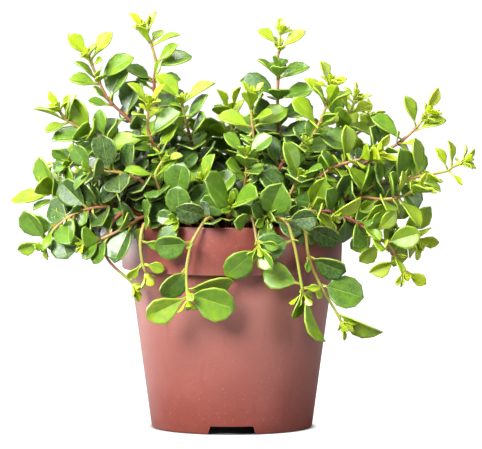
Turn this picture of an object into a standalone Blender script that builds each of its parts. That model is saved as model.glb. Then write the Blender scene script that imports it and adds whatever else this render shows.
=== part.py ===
"""Trailing jade peperomia growing in a 12 cm nursery pot.

The pot, the soil in it and each leafy stem are separate solids. A stem is one piece with its
leaves: every leaf's stalk is sunk into the stem that it grows from. The sizes and tables count
from the pot's axis. The finished plant is then moved so that the origin lies under the middle of
its box, at the plane that the foot stands on; +Z is up and -Y is the side that the plant shows.
"""

import math
import random

import bmesh
import bpy
from mathutils import Matrix, Vector
from mathutils.bvhtree import BVHTree
from mathutils.geometry import intersect_line_line

mm = 0.001

# Pot, a thin moulded shell with a straight collar
pot_height = 112 * mm
pot_rim_radius = 60 * mm
pot_collar_radius = 59.2 * mm
pot_collar_bottom = 86.4 * mm
pot_body_top_radius = 55.1 * mm
pot_foot_radius = 43.5 * mm
pot_wall = 1.4 * mm
pot_base_underside = 5 * mm
pot_foot_chamfer = 1.2 * mm
pot_sides = 36
notch_count = 3
notch_height = 4.5 * mm
notch_top_width = 23 * mm
notch_bottom_width = 26 * mm
drain_hole_radius = 4 * mm
drain_hole_ring = 27 * mm
drain_hole_count = 6

# Soil, which fills the pot to just under its rim and rises a little in the middle
gap = 0.3 * mm
soil_edge_level = 103.5 * mm
soil_middle_level = 106.5 * mm
soil_sides = 24
stem_hole_depth = 9 * mm

# Stems and leaves
stem_base_radius = 1.3 * mm
stem_tip_radius = 0.9 * mm
course_spacing = 9 * mm
ring_spacing = 28 * mm
ring_pair_height = 1.3 * mm
least_ring_gap = 0.4 * mm
blade_thickness = 0.7 * mm
young_width_share = 0.46
grown_width_share = 0.7
large_leaf = 13 * mm
small_leaf = 9.5 * mm
least_crease = 0.35
clearance = 0.25 * mm
droop = 0.08
light_outward = 5
light_forward = 1.1
light_upward = 0.7
back_half = 12 * mm
growth_seed = 7
leaf_attempts = 14
bend_attempts = 200

# A whorl is its place along the stem, its number of leaves, their length in mm, how far they
# lean out from the stem in degrees, and how far the first one is turned from the right.
RISING = [
    (1.0, 2, 7, 22, 0),
    (0.94, 2, 11, 42, 90),
    (0.85, 2, 17, 56, 0),
    (0.73, 2, 20, 66, 90),
    (0.60, 2, 20, 72, 20),
]
SPREADING = [
    (1.0, 2, 8, 25, 0),
    (0.93, 2, 13, 48, 90),
    (0.82, 2, 19, 62, 0),
    (0.68, 2, 20, 70, 90),
    (0.54, 2, 20, 74, 0),
]

# Each stem is its name and the points that it passes, in mm. The first is where it leaves the soil.
TALL_STEMS = [
    (
        "left_high",
        [(-26, 4), (-36, 2, 135), (-50, -1, 161), (-65, -3, 175), (-72, -4, 188), (-77, -5, 201)],
        [
            (1.0, 1, 16, 14, 180),
            (0.98, 1, 18, 50, 0),
            (0.96, 1, 12, 14, 90),
            (0.88, 1, 18, 14, 200),
            (0.87, 1, 22, 72, 0),
            (0.85, 1, 17, 48, 185),
            (0.76, 1, 20, 46, 0),
            (0.73, 1, 14, 22, 190),
            (0.64, 2, 20, 66, 20),
            (0.54, 1, 19, 50, -60),
            (0.46, 2, 20, 66, 50),
        ],
    ),
    (
        "left_middle",
        [(-33, -6), (-47, -9, 136), (-63, -12, 154), (-75, -14, 159), (-89, -15, 166), (-93, -16, 172)],
        [
            (1.0, 1, 12, 14, 0),
            (0.97, 1, 7, 24, 180),
            (0.94, 1, 18, 20, 225),
            (0.92, 1, 16, 50, -20),
            (0.77, 1, 22, 42, 0),
            (0.75, 1, 22, 20, 190),
            (0.68, 1, 15, 50, 10),
            (0.62, 1, 20, 60, 180),
            (0.5, 2, 20, 66, 70),
        ],
    ),
    (
        "crown_left",
        [
            (-21, 8),
            (-32, 8, 140),
            (-41, 7, 170),
            (-42, 6, 188),
            (-41, 5, 199),
            (-44, 5, 208),
            (-47, 5, 215),
        ],
        [
            (1.0, 1, 12, 12, 180),
            (0.985, 1, 12, 36, 0),
            (0.93, 1, 14, 30, 250),
            (0.915, 1, 16, 76, 0),
            (0.845, 1, 13, 20, 215),
            (0.83, 1, 15, 34, -20),
            (0.81, 1, 21, 62, 10),
            (0.745, 1, 16, 54, 180),
            (0.73, 1, 14, 72, 0),
            (0.7, 1, 15, 68, 200),
            (0.6, 2, 20, 60, 30),
            (0.5, 1, 19, 60, 200),
            (0.44, 1, 19, 60, -60),
        ],
    ),
    (
        "crown_front",
        [(-19, -13), (-30, -19, 135), (-44, -24, 158), (-45, -25, 168), (-44, -26, 177)],
        [
            (1.0, 1, 15, 44, 180),
            (0.98, 1, 15, 18, 0),
            (0.95, 1, 9, 24, -90),
            (0.88, 2, 14, 62, 60),
            (0.76, 2, 21, 74, 0),
            (0.62, 2, 20, 72, 100),
        ],
    ),
    (
        "crown_middle",
        [(-11, 2), (-18, 0, 140), (-23, -2, 160), (-27, -3, 172), (-27, -3, 178)],
        [
            (1.0, 1, 19, 30, 180),
            (0.98, 1, 20, 56, 0),
            (0.95, 1, 13, 30, -90),
            (0.82, 1, 20, 44, -10),
            (0.8, 1, 18, 66, 180),
            (0.62, 2, 20, 72, 90),
        ],
    ),
    (
        "centre_back",
        [(1, 15), (2, 17, 140), (0, 17, 158), (-1, 17, 171)],
        [(1.0, 2, 13, 22, 10), (0.9, 2, 17, 46, 60), (0.78, 2, 20, 60, 0), (0.6, 2, 20, 72, 100)],
    ),
    (
        "centre",
        [(9, -4), (12, -5, 140), (12, -6, 156), (10, -6, 173), (11, -6, 180)],
        [(1.0, 2, 9, 28, 0), (0.9, 2, 16, 50, 80), (0.76, 2, 20, 60, 0), (0.6, 2, 20, 70, 90)],
    ),
    (
        "tallest",
        [(19, 5), (24, 5, 140), (25, 4, 165), (25, 4, 180), (25, 4, 191), (26, 4, 213)],
        [
            (1.0, 1, 9, 8, 90),
            (0.98, 1, 7, 16, -90),
            (0.94, 1, 14, 52, 180),
            (0.925, 1, 16, 48, 0),
            (0.9, 1, 10, 50, 90),
            (0.8, 1, 15, 24, -110),
            (0.785, 1, 14, 52, 180),
            (0.77, 1, 18, 58, 0),
            (0.68, 1, 23, 68, 180),
            (0.665, 1, 19, 70, 0),
            (0.57, 2, 20, 66, 10),
            (0.44, 2, 20, 66, 60),
        ],
    ),
    (
        "right_high",
        [(26, -7), (33, -9, 135), (40, -11, 152), (47, -12, 164), (51, -12, 175), (53, -12, 186)],
        [
            (1.0, 1, 13, 26, 180),
            (0.98, 1, 11, 34, 0),
            (0.89, 1, 17, 50, 180),
            (0.875, 1, 13, 30, -80),
            (0.85, 1, 20, 24, -20),
            (0.74, 1, 16, 44, -70),
            (0.72, 1, 20, 60, 180),
            (0.56, 2, 20, 68, 60),
        ],
    ),
    (
        "right_upper",
        [(32, 6), (42, 8, 137), (54, 9, 158), (63, 10, 168), (67, 10, 177)],
        [
            (1.0, 1, 9, 14, 180),
            (0.98, 1, 11, 22, 0),
            (0.9, 2, 15, 50, 40),
            (0.8, 1, 18, 60, 0),
            (0.78, 1, 20, 52, 190),
            (0.64, 2, 20, 70, 60),
        ],
    ),
    (
        "right_back",
        [(33, 13), (48, 22, 138), (64, 28, 155), (71, 30, 158), (74, 30, 165)],
        [(1.0, 2, 11, 22, 0), (0.9, 2, 16, 50, 90), (0.78, 2, 20, 62, 0), (0.62, 2, 19, 70, 90)],
    ),
    (
        "right_far",
        [(40, -3), (54, -6, 128), (67, -8, 141), (84, -9, 150), (98, -10, 161), (105, -10, 170)],
        [
            (1.0, 1, 15, 14, 180),
            (0.98, 1, 13, 12, 0),
            (0.95, 1, 10, 50, -60),
            (0.905, 1, 17, 52, 180),
            (0.885, 1, 17, 14, 0),
            (0.79, 1, 20, 102, 180),
            (0.77, 1, 12, 40, -50),
            (0.66, 1, 20, 62, 180),
            (0.58, 2, 20, 60, 30),
            (0.42, 2, 19, 66, 70),
        ],
    ),
    (
        "right_tip",
        [(45, -13), (62, -18, 126), (84, -22, 133), (105, -24, 138), (118, -25, 141), (124, -25, 145)],
        [
            (1.0, 1, 10, 14, 180),
            (0.98, 1, 8, 34, 0),
            (0.93, 1, 14, 60, 180),
            (0.9, 1, 13, 100, 180),
            (0.73, 1, 20, 80, 180),
            (0.68, 1, 17, 30, -30),
            (0.6, 2, 20, 66, 20),
            (0.46, 2, 20, 70, 70),
        ],
    ),
]

SIDE_STEMS = [
    (
        "left_far",
        [(-40, 3), (-56, 2, 122), (-71, 0, 127), (-88, -2, 124), (-99, -2, 127)],
        [
            (1.0, 1, 22, 20, 180),
            (0.98, 1, 21, 52, 0),
            (0.95, 1, 10, 36, -60),
            (0.88, 1, 22, 20, 215),
            (0.86, 1, 19, 60, 40),
            (0.76, 2, 21, 66, 20),
            (0.62, 2, 20, 70, 75),
            (0.48, 2, 19, 66, 0),
        ],
    ),
    (
        "left_low",
        [
            (-38, -17),
            (-49, -22, 118),
            (-62, -27, 121),
            (-78, -30, 120),
            (-90, -30, 114),
            (-96, -30, 108),
            (-101, -29, 101),
        ],
        [
            (1.0, 1, 15, 42, 0),
            (0.98, 1, 19, 112, -10),
            (0.95, 1, 7, 40, 180),
            (0.87, 1, 12, 96, 180),
            (0.845, 1, 19, 60, 0),
            (0.74, 2, 20, 66, 60),
            (0.6, 2, 20, 66, 10),
            (0.46, 2, 20, 66, 70),
        ],
    ),
    (
        "left_pink",
        [(-31, -25), (-41, -36, 117), (-52, -42, 112), (-66, -43, 105), (-79, -42, 102)],
        [
            (1.0, 1, 13, 40, 0),
            (0.96, 1, 8, 30, -90),
            (0.79, 1, 16, 38, 180),
            (0.56, 1, 21, 28, 190),
            (0.42, 1, 17, 70, -60),
        ],
    ),
    (
        "left_silver",
        [(-34, 12), (-50, 14, 128), (-66, 12, 142), (-78, 8, 142), (-88, 4, 143)],
        [(1.0, 2, 12, 35, 20), (0.92, 2, 20, 60, 90), (0.76, 2, 23, 64, 0), (0.60, 2, 21, 70, 90)],
    ),
    (
        "left_dark",
        [(-40, -8), (-52, -12, 118), (-66, -16, 118), (-80, -18, 113), (-92, -20, 113)],
        [(1.0, 2, 12, 45, 0), (0.9, 2, 20, 62, 70), (0.74, 2, 19, 66, 0), (0.56, 2, 21, 70, 70)],
    ),
    (
        "left_shoulder",
        [(-28, -18), (-40, -24, 128), (-54, -29, 138), (-66, -32, 140), (-76, -33, 141)],
        [(1.0, 2, 16, 45, 0), (0.88, 2, 21, 64, 90), (0.70, 2, 21, 68, 0), (0.54, 2, 20, 72, 90)],
    ),
    (
        "left_back",
        [(-38, 22), (-54, 28, 124), (-70, 34, 132), (-86, 36, 134), (-94, 36, 140)],
        SPREADING,
    ),
    (
        "right_red",
        [(38, -21), (50, -29, 122), (60, -33, 127), (74, -36, 126), (88, -38, 126), (100, -38, 132)],
        [
            (1.0, 2, 9, 28, 0),
            (0.93, 2, 17, 55, 90),
            (0.84, 2, 19, 62, 0),
            (0.72, 2, 20, 68, 90),
            (0.56, 2, 20, 68, 0),
        ],
    ),
    (
        "right_low",
        [(36, -31), (48, -38, 117), (62, -42, 113), (81, -44, 101), (92, -44, 87)],
        [
            (1.0, 1, 14, 36, 180),
            (0.97, 1, 8, 30, 0),
            (0.9, 1, 16, 96, 0),
            (0.86, 1, 13, 50, -80),
            (0.76, 1, 20, 74, 190),
            (0.73, 1, 17, 96, 0),
            (0.66, 1, 18, 80, 190),
            (0.56, 1, 21, 84, 180),
            (0.53, 1, 18, 70, -60),
        ],
    ),
    (
        "right_shoulder",
        [(48, 3), (62, 2, 120), (78, 0, 114), (92, -2, 106), (100, -3, 100)],
        [
            (1.0, 1, 10, 40, 0),
            (0.97, 1, 14, 30, 180),
            (0.92, 1, 15, 50, -70),
            (0.84, 2, 20, 70, 10),
            (0.66, 2, 20, 70, 70),
        ],
    ),
    (
        "right_middle",
        [(30, -18), (42, -24, 132), (56, -28, 143), (68, -30, 146), (78, -31, 150)],
        [(1.0, 2, 12, 35, 0), (0.9, 2, 19, 58, 90), (0.74, 2, 20, 64, 0), (0.56, 2, 20, 70, 90)],
    ),
    (
        "right_side",
        [(44, 12), (62, 16, 122), (80, 20, 128), (92, 22, 130), (100, 22, 136)],
        SPREADING,
    ),
]

# These stems cross the rim and hang in front of the pot.
HANGING_STEMS = [
    (
        "front_left_hanging",
        [(-6, -46), (-7, -56, 117), (-13, -64, 112), (-21, -65, 99), (-23, -65, 84), (-23, -64, 73)],
        [
            (1.0, 1, 6, 30, 90),
            (0.97, 1, 24, 76, 3),
            (0.94, 1, 26, 70, 182),
            (0.91, 1, 29, 98, 180),
            (0.76, 1, 22, 28, 12),
            (0.56, 1, 19, 60, 5),
            (0.52, 1, 13, 30, -60),
            (0.32, 1, 18, 52, 0),
        ],
    ),
    (
        "front_hanging",
        [(3, -47), (4, -57, 117), (9, -65, 111), (14, -66, 101)],
        [(1.0, 1, 23, 62, 20), (0.96, 1, 16, 24, 225), (0.90, 1, 12, 70, 200), (0.55, 1, 14, 70, -60)],
    ),
    (
        "front_right_hanging",
        [(19, -45), (25, -53, 117), (31, -60, 112), (36, -62, 95), (38, -60, 76)],
        [
            (1.0, 1, 28, 14, 215),
            (0.97, 1, 21, 14, -40),
            (0.94, 1, 8, 90, 180),
            (0.90, 1, 21, 116, 20),
            (0.56, 1, 20, 96, 0),
            (0.40, 1, 18, 60, 180),
        ],
    ),
    (
        "right_hanging",
        [(29, -41), (36, -50, 117), (42, -58, 109), (44, -57, 92), (50, -53, 78), (59, -48, 60)],
        [
            (1.0, 2, 10, 14, 0),
            (0.94, 1, 25, 40, 180),
            (0.72, 1, 25, 48, 180),
            (0.52, 1, 21, 60, 180),
            (0.36, 1, 21, 24, -40),
            (0.33, 1, 19, 64, 170),
        ],
    ),
    (
        "left_rim",
        [(-33, -33), (-39, -41, 117), (-45, -49, 110), (-47, -51, 95), (-45, -49, 86)],
        [(1.0, 1, 7, 20, 0), (0.88, 2, 12, 60, 10), (0.66, 1, 12, 80, 190), (0.50, 2, 13, 66, 90)],
    ),
    (
        "left_thin",
        [(-40, -25), (-50, -34, 117), (-64, -39, 111), (-69, -39, 98), (-62, -39, 88), (-52, -39, 80)],
        [(1.0, 1, 10, 20, 0), (0.42, 1, 17, 66, 180), (0.36, 1, 18, 70, -60)],
    ),
    (
        "back_left_hanging",
        [(-22, 42), (-26, 52, 117), (-32, 61, 110), (-35, 62, 92), (-35, 62, 78)],
        [(1.0, 2, 12, 40, 0), (0.86, 2, 21, 62, 80), (0.68, 2, 21, 68, 0), (0.48, 2, 20, 70, 90)],
    ),
    (
        "back_right_hanging",
        [(22, 43), (26, 52, 117), (32, 61, 110), (34, 63, 96), (33, 64, 84)],
        [(1.0, 2, 12, 40, 30), (0.84, 2, 21, 62, 100), (0.66, 2, 21, 68, 10), (0.48, 2, 20, 70, 90)],
    ),
    (
        "back_hanging",
        [(0, 48), (-2, 56, 117), (-3, 66, 110), (-4, 68, 94)],
        [(1.0, 2, 16, 45, 0), (0.8, 2, 20, 62, 90), (0.6, 2, 20, 68, 0)],
    ),
]

# These shorter stems fill the front of the plant above the rim.
FRONT_STEMS = [
    (
        "front_rim_left",
        [(-18, -40), (-24, -50, 114), (-28, -57, 116)],
        [(1.0, 2, 20, 62, 0), (0.85, 2, 17, 60, 90), (0.55, 2, 13, 66, 40)],
    ),
    (
        "front_rim_right",
        [(12, -39), (16, -49, 117), (19, -58, 117)],
        [(1.0, 2, 23, 60, 10), (0.85, 2, 17, 60, 90), (0.55, 2, 16, 66, 30)],
    ),
    (
        "front_bright",
        [(-3, -30), (-1, -42, 118), (0, -50, 124)],
        [(1.0, 2, 28, 33, 0), (0.92, 2, 13, 30, 90), (0.66, 2, 17, 66, 0)],
    ),
    (
        "front_dark",
        [(-16, -26), (-24, -36, 120), (-30, -42, 126)],
        [(1.0, 2, 21, 50, 10), (0.86, 2, 18, 64, 90), (0.6, 2, 17, 66, 0)],
    ),
    (
        "front_brown",
        [(-8, -20), (-10, -28, 122), (-16, -34, 136)],
        [(1.0, 2, 16, 40, 0), (0.86, 2, 19, 60, 90), (0.64, 2, 19, 66, 10)],
    ),
    (
        "front_left_yellow",
        [(-27, -27), (-36, -34, 124), (-41, -38, 140), (-37, -39, 147)],
        [(1.0, 2, 11, 40, 0), (0.8, 2, 19, 62, 0), (0.62, 2, 20, 68, 90), (0.44, 2, 18, 70, 10)],
    ),
    (
        "front_middle",
        [(4, -20), (6, -26, 126), (8, -30, 142), (8, -31, 150)],
        [(1.0, 2, 16, 42, 0), (0.84, 2, 17, 60, 90), (0.66, 2, 19, 68, 0)],
    ),
    (
        "front_right_dark",
        [(20, -28), (28, -35, 122), (34, -38, 134), (36, -39, 139)],
        [(1.0, 2, 20, 42, 0), (0.84, 2, 20, 60, 90), (0.62, 2, 20, 66, 0)],
    ),
    (
        "front_right_rise",
        [(16, -14), (22, -18, 130), (28, -20, 146), (38, -21, 154)],
        [(1.0, 2, 13, 40, 0), (0.86, 2, 19, 60, 90), (0.68, 2, 19, 66, 0)],
    ),
    (
        "front_right_low",
        [(30, -26), (37, -38, 120), (45, -49, 120), (53, -54, 117)],
        [(1.0, 2, 19, 50, 0), (0.84, 2, 20, 62, 90), (0.62, 2, 19, 66, 0)],
    ),
]

# The back and the middle, which the stems above leave open, are filled by a rule.
back_stem_count = 9
outer_back_reach = 96
inner_back_reach = 66
outer_back_height = 118
inner_back_height = 156
back_first_angle = 34
back_last_angle = 143
middle_stem_count = 2

COLOURS = {
    "pot": (0.45, 0.145, 0.105),
    "soil": (0.035, 0.024, 0.017),
    "leafy_stem": (0.13, 0.27, 0.03),
}
ROUGHNESS = {"pot": 0.42, "soil": 0.95, "leafy_stem": 0.38}


def clear_scene():
    for obj in list(bpy.data.objects):
        bpy.data.objects.remove(obj)


def new_collection(name):
    collection = bpy.data.collections.new(name)
    bpy.context.scene.collection.children.link(collection)
    return collection


def material(name):
    made = bpy.data.materials.new(name)
    made.use_nodes = True
    shader = made.node_tree.nodes["Principled BSDF"]
    shader.inputs["Base Color"].default_value = (*COLOURS[name], 1)
    shader.inputs["Roughness"].default_value = ROUGHNESS[name]
    shader.inputs["Metallic"].default_value = 0
    return made


def add_object(name, mesh, collection, finish=None):
    obj = bpy.data.objects.new(name, mesh)
    collection.objects.link(obj)
    if finish:
        mesh.materials.append(finish)
    return obj


def mesh_from(bm, name):
    mesh = bpy.data.meshes.new(name)
    bm.to_mesh(mesh)
    bm.free()
    return mesh


def turned(name, profile, sides, collection, finish):
    """A profile of (radius, height) points turned round the pot's axis."""
    bm = bmesh.new()
    points = [bm.verts.new((radius, 0, height)) for radius, height in profile]
    for lower, upper in zip(points, points[1:]):
        bm.edges.new((lower, upper))
    obj = add_object(name, mesh_from(bm, name), collection, finish)
    screw = obj.modifiers.new("Turn", "SCREW")
    screw.steps = screw.render_steps = sides
    screw.use_merge_vertices = True
    screw.merge_threshold = 0.00001
    screw.use_smooth_shade = True
    return obj


def as_cutter(obj):
    obj.hide_render = True
    obj.display_type = "WIRE"


def cut(obj, cutters):
    boolean = obj.modifiers.new("Cut " + cutters.name, "BOOLEAN")
    boolean.operation = "DIFFERENCE"
    boolean.operand_type = "COLLECTION"
    boolean.collection = cutters
    boolean.solver = "EXACT"


def prism(name, radius, low, high, x, y, sides, collection):
    bm = bmesh.new()
    bmesh.ops.create_cone(
        bm,
        cap_ends=True,
        segments=sides,
        radius1=radius,
        radius2=radius,
        depth=high - low,
        matrix=Matrix.Translation((x, y, (low + high) / 2)),
    )
    obj = add_object(name, mesh_from(bm, name), collection)
    as_cutter(obj)
    return obj


def pot_profile():
    """From the middle of the inner floor, up the inside, over the rim and down to the underside."""
    floor = pot_base_underside + pot_wall
    inner_collar_bottom = pot_collar_bottom + pot_wall
    return [
        (0, floor),
        (pot_foot_radius + floor * body_slope() - pot_wall, floor),
        (pot_body_top_radius - pot_wall, inner_collar_bottom),
        (pot_collar_radius - pot_wall, inner_collar_bottom + pot_wall),
        (pot_rim_radius - pot_wall, pot_height),
        (pot_rim_radius, pot_height),
        (pot_collar_radius, pot_collar_bottom),
        (pot_body_top_radius, pot_collar_bottom),
        (pot_foot_radius, pot_foot_chamfer),
        (pot_foot_radius - pot_foot_chamfer * 0.5, 0),
        (pot_foot_radius - pot_foot_chamfer * 0.5 - pot_wall, 0),
        (pot_foot_radius - pot_foot_chamfer * 0.5 - pot_wall, pot_base_underside),
        (0, pot_base_underside),
    ]


def body_slope():
    return (pot_body_top_radius - pot_foot_radius) / (pot_collar_bottom - pot_foot_chamfer)


def inner_radius(height):
    """The pot's inside radius under the collar."""
    return pot_foot_radius + height * body_slope() - pot_wall


def notch(name, angle, collection):
    """A sloped gap in the foot ring, open at the bottom, where water runs out."""
    reach = pot_foot_radius + 3 * mm
    depth = 8 * mm
    bm = bmesh.new()
    bmesh.ops.create_cube(bm, size=1)
    for vert in bm.verts:
        top = vert.co.z > 0
        half = (notch_top_width if top else notch_bottom_width) / 2
        vert.co.x = reach - depth if vert.co.x < 0 else reach
        vert.co.y = math.copysign(half, vert.co.y)
        vert.co.z = notch_height if top else -1 * mm
    bmesh.ops.rotate(bm, verts=bm.verts, matrix=Matrix.Rotation(angle, 3, "Z"))
    obj = add_object(name, mesh_from(bm, name), collection)
    as_cutter(obj)


def make_pot(parts, cutters, finish):
    pot = turned("pot", pot_profile(), pot_sides, parts, finish)
    for i in range(notch_count):
        notch(f"foot_notch_{i}", math.radians(-90) + i * math.tau / notch_count, cutters)
    floor = pot_base_underside
    for i in range(drain_hole_count):
        angle = (i + 0.5) * math.tau / drain_hole_count
        x = drain_hole_ring * math.cos(angle)
        y = drain_hole_ring * math.sin(angle)
        prism(f"drain_{i}", drain_hole_radius, floor - 3 * mm, floor + 4 * mm, x, y, 6, cutters)
    return pot


def soil_level(x, y):
    """The height of the soil's surface, a shallow dome."""
    share = min(1, math.hypot(x, y) / pot_body_top_radius)
    return soil_middle_level + (soil_edge_level - soil_middle_level) * share**2


def make_soil(parts, finish):
    # The pot's flat sides come closer to the axis than its corners, so the soil's corners do too.
    inset = gap + pot_rim_radius * (1 - math.cos(math.pi / pot_sides))
    floor = pot_base_underside + pot_wall + gap
    shoulder = pot_collar_bottom + 2 * pot_wall
    collar = pot_collar_radius - pot_wall - inset
    rings = [0, 0.6, 1]
    surface = [(collar * share, soil_level(collar * share, 0)) for share in rings]
    below = [
        (collar, shoulder + gap),
        (pot_body_top_radius - pot_wall - inset, pot_collar_bottom + pot_wall),
        (inner_radius(floor) - inset, floor),
        (0, floor),
    ]
    return turned("soil", surface + below, soil_sides, parts, finish)


def smooth_course(points, pieces):
    """Points along a smooth curve through the given ones, spaced evenly."""
    ends = [2 * points[0] - points[1], *points, 2 * points[-1] - points[-2]]
    fine = []
    for a, b, c, d in zip(ends, ends[1:], ends[2:], ends[3:]):
        for step in range(12):
            t = step / 12
            fine.append(
                0.5 * (2 * b + (c - a) * t + (2 * a - 5 * b + 4 * c - d) * t**2)
                + 0.5 * (3 * b - a - 3 * c + d) * t**3
            )
    fine.append(points[-1].copy())
    return [point_along(fine, i / pieces)[0] for i in range(pieces + 1)]


def length_of(course):
    return sum((b - a).length for a, b in zip(course, course[1:]))


def point_along(course, share):
    """The point at this share of a course's length, and the direction there."""
    left = share * length_of(course)
    for a, b in zip(course, course[1:]):
        length = (b - a).length
        if left <= length or b is course[-1]:
            return a.lerp(b, min(1, left / length)), (b - a).normalized()
        left -= length


def stem_course(waypoints):
    """From just above the soil along the stem's waypoints, with the bottom of its hole first."""
    x, y = waypoints[0][0] * mm, waypoints[0][1] * mm
    top = soil_level(x, y)
    way = [Vector((x, y, top + 1.5 * mm))] + [Vector(p) * mm for p in waypoints[1:]]
    course = smooth_course(way, max(4, round(length_of(way) / course_spacing)))
    return [Vector((x, y, top - stem_hole_depth + gap)), *course]


def from_run(point, a, b):
    """How far the point is from the straight run a-b."""
    share = (point - a).dot(b - a) / (b - a).length_squared
    return (point - a.lerp(b, max(0, min(1, share)))).length


def nearest(a, b, c, d):
    """The least distance between the straight runs a-b and c-d."""
    least = min(from_run(a, c, d), from_run(b, c, d), from_run(c, a, b), from_run(d, a, b))
    crossing = intersect_line_line(a, b, c, d)
    if crossing:
        p, q = crossing
        on_first = 0 <= (p - a).dot(b - a) <= (b - a).length_squared
        on_second = 0 <= (q - c).dot(d - c) <= (d - c).length_squared
        if on_first and on_second:
            least = min(least, (p - q).length)
    return least


def runs_clear(course, others):
    """Whether a stem on this course stays clear of the stems placed before and of the pot."""
    room = 2 * stem_base_radius + 2 * clearance
    for a, b in zip(course, course[1:]):
        for other in others:
            for c, d in zip(other, other[1:]):
                if (a - c).length < 30 * mm and nearest(a, b, c, d) < room:
                    return False
        for step in range(13):
            point = a.lerp(b, step / 12)
            outside = math.hypot(point.x, point.y) > pot_rim_radius + stem_base_radius + 2 * clearance
            inside = math.hypot(point.x, point.y) < pot_collar_radius - pot_wall - 2 * stem_base_radius
            if point.z < pot_height + stem_base_radius + 2 * clearance and not (outside or inside):
                return False
    return True


def ring_line(course, whorls):
    """The straight runs between the rings that a stem is made of."""
    return [course[0]] + [point_along(course[1:], share)[0] for _, share, _, _ in whorl_rings(course, whorls)]


def bent_clear(course, whorls, others, draw):
    """The course, with its middle shifted until its stem is clear of those placed before."""
    bent = course
    last = len(course) - 1
    for attempt in range(bend_attempts):
        if runs_clear(ring_line(bent, whorls), others):
            return bent
        shift = Vector([draw.uniform(-1, 1) for _ in range(3)]) * (0.6 + attempt * 0.05) * mm
        shift.z = abs(shift.z)
        bent = [
            co + shift * math.sin(math.pi * i / last) ** 0.5 if 1 < i < last else co.copy()
            for i, co in enumerate(course)
        ]
    return bent


def directions(along):
    """Across a stem that runs this way: to the right, and to the back."""
    right = Vector((0, 1, 0)).cross(along)
    if right.length < 0.2:
        right = Vector((1, 0, 0))
    right = (right - along * right.dot(along)).normalized()
    return right, along.cross(right)


def ring(bm, centre, along, turn, radius):
    """Four corners of a stem, with a flat side facing the way that turn gives."""
    right, back = directions(along)
    corners = []
    for quarter in range(4):
        angle = turn + math.radians(45 + 90 * quarter)
        corners.append(bm.verts.new(centre + radius * (right * math.cos(angle) + back * math.sin(angle))))
    return corners


def whorl_rings(course, whorls):
    """Where a stem's rings are: its foot, the soil, a pair round each whorl, and what lies between."""
    length = length_of(course[1:])
    half = ring_pair_height / 2 / length
    rings = [(None, 0, math.radians(-45), None)]
    for index, (place, count, size, lean, turn) in reversed(list(enumerate(whorls))):
        middle = min(place, 1 - half - index * (2 * half + least_ring_gap / length))
        before = rings[-1][1]
        between = int((middle - before) * length / ring_spacing)
        for i in range(between):
            share = before + (i + 1) * (middle - half - before) / (between + 1)
            rings.append((None, share, math.radians(turn), None))
        rings.append((index, middle - half, math.radians(turn), "low"))
        rings.append((index, middle + half, math.radians(turn), "high"))
    return rings


def bare_stem(course, whorls):
    """A four-sided stem, and the sides that its leaves grow from, as (whorl, quarter) to face."""
    bm = bmesh.new()
    above = course[1:]
    foot = ring(bm, course[0], Vector((0, 0, 1)), math.radians(-45), stem_base_radius)
    bm.faces.new(reversed(foot))
    last = foot
    sides = {}
    for index, share, turn, kind in whorl_rings(course, whorls):
        centre, along = point_along(above, share)
        if share == 0:
            along = Vector((0, 0, 1))
        radius = stem_base_radius + (stem_tip_radius - stem_base_radius) * share
        corners = ring(bm, centre, along, turn, radius)
        shift = best_shift(last, corners)
        for quarter in range(4):
            near = [last[(quarter + shift) % 4], last[(quarter + shift + 1) % 4]]
            far = [corners[(quarter + 1) % 4], corners[quarter]]
            face = bm.faces.new([near[0], near[1], far[0], far[1]])
            if kind == "high":
                # The side between corners 3 and 0 faces the way of the turn.
                sides[index, (quarter + 1) % 4] = face
        last = corners
    bm.faces.new(last)
    bmesh.ops.recalc_face_normals(bm, faces=bm.faces)
    return bm, sides


def best_shift(last, corners):
    """Which corner of the ring before lies behind this ring's first, so that the stem isn't twisted."""
    middle_last = sum((v.co for v in last), Vector()) / 4
    middle = sum((v.co for v in corners), Vector()) / 4
    spans = [
        sum((last[(i + shift) % 4].co - middle_last - corners[i].co + middle).length for i in range(4))
        for shift in range(4)
    ]
    return spans.index(min(spans))


def width_share(length):
    """Young leaves are narrow, and full-grown ones nearly round."""
    grown = min(1, max(0, (length / mm - 8) / 12))
    return young_width_share + (grown_width_share - young_width_share) * grown


def is_creased(leaf):
    """Whether a leaf is folded enough along its middle to show."""
    return leaf["length"] > large_leaf and leaf["fold"] > least_crease


def sections_of(leaf):
    """How far along the leaf it is how wide, of its greatest half width."""
    if leaf["length"] > large_leaf:
        return [(0.3, 0.9), (0.7, 0.92)]
    if leaf["length"] > small_leaf:
        return [(0.32, 0.92), (0.72, 0.85)]
    return [(0.52, 1.0)]


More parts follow.
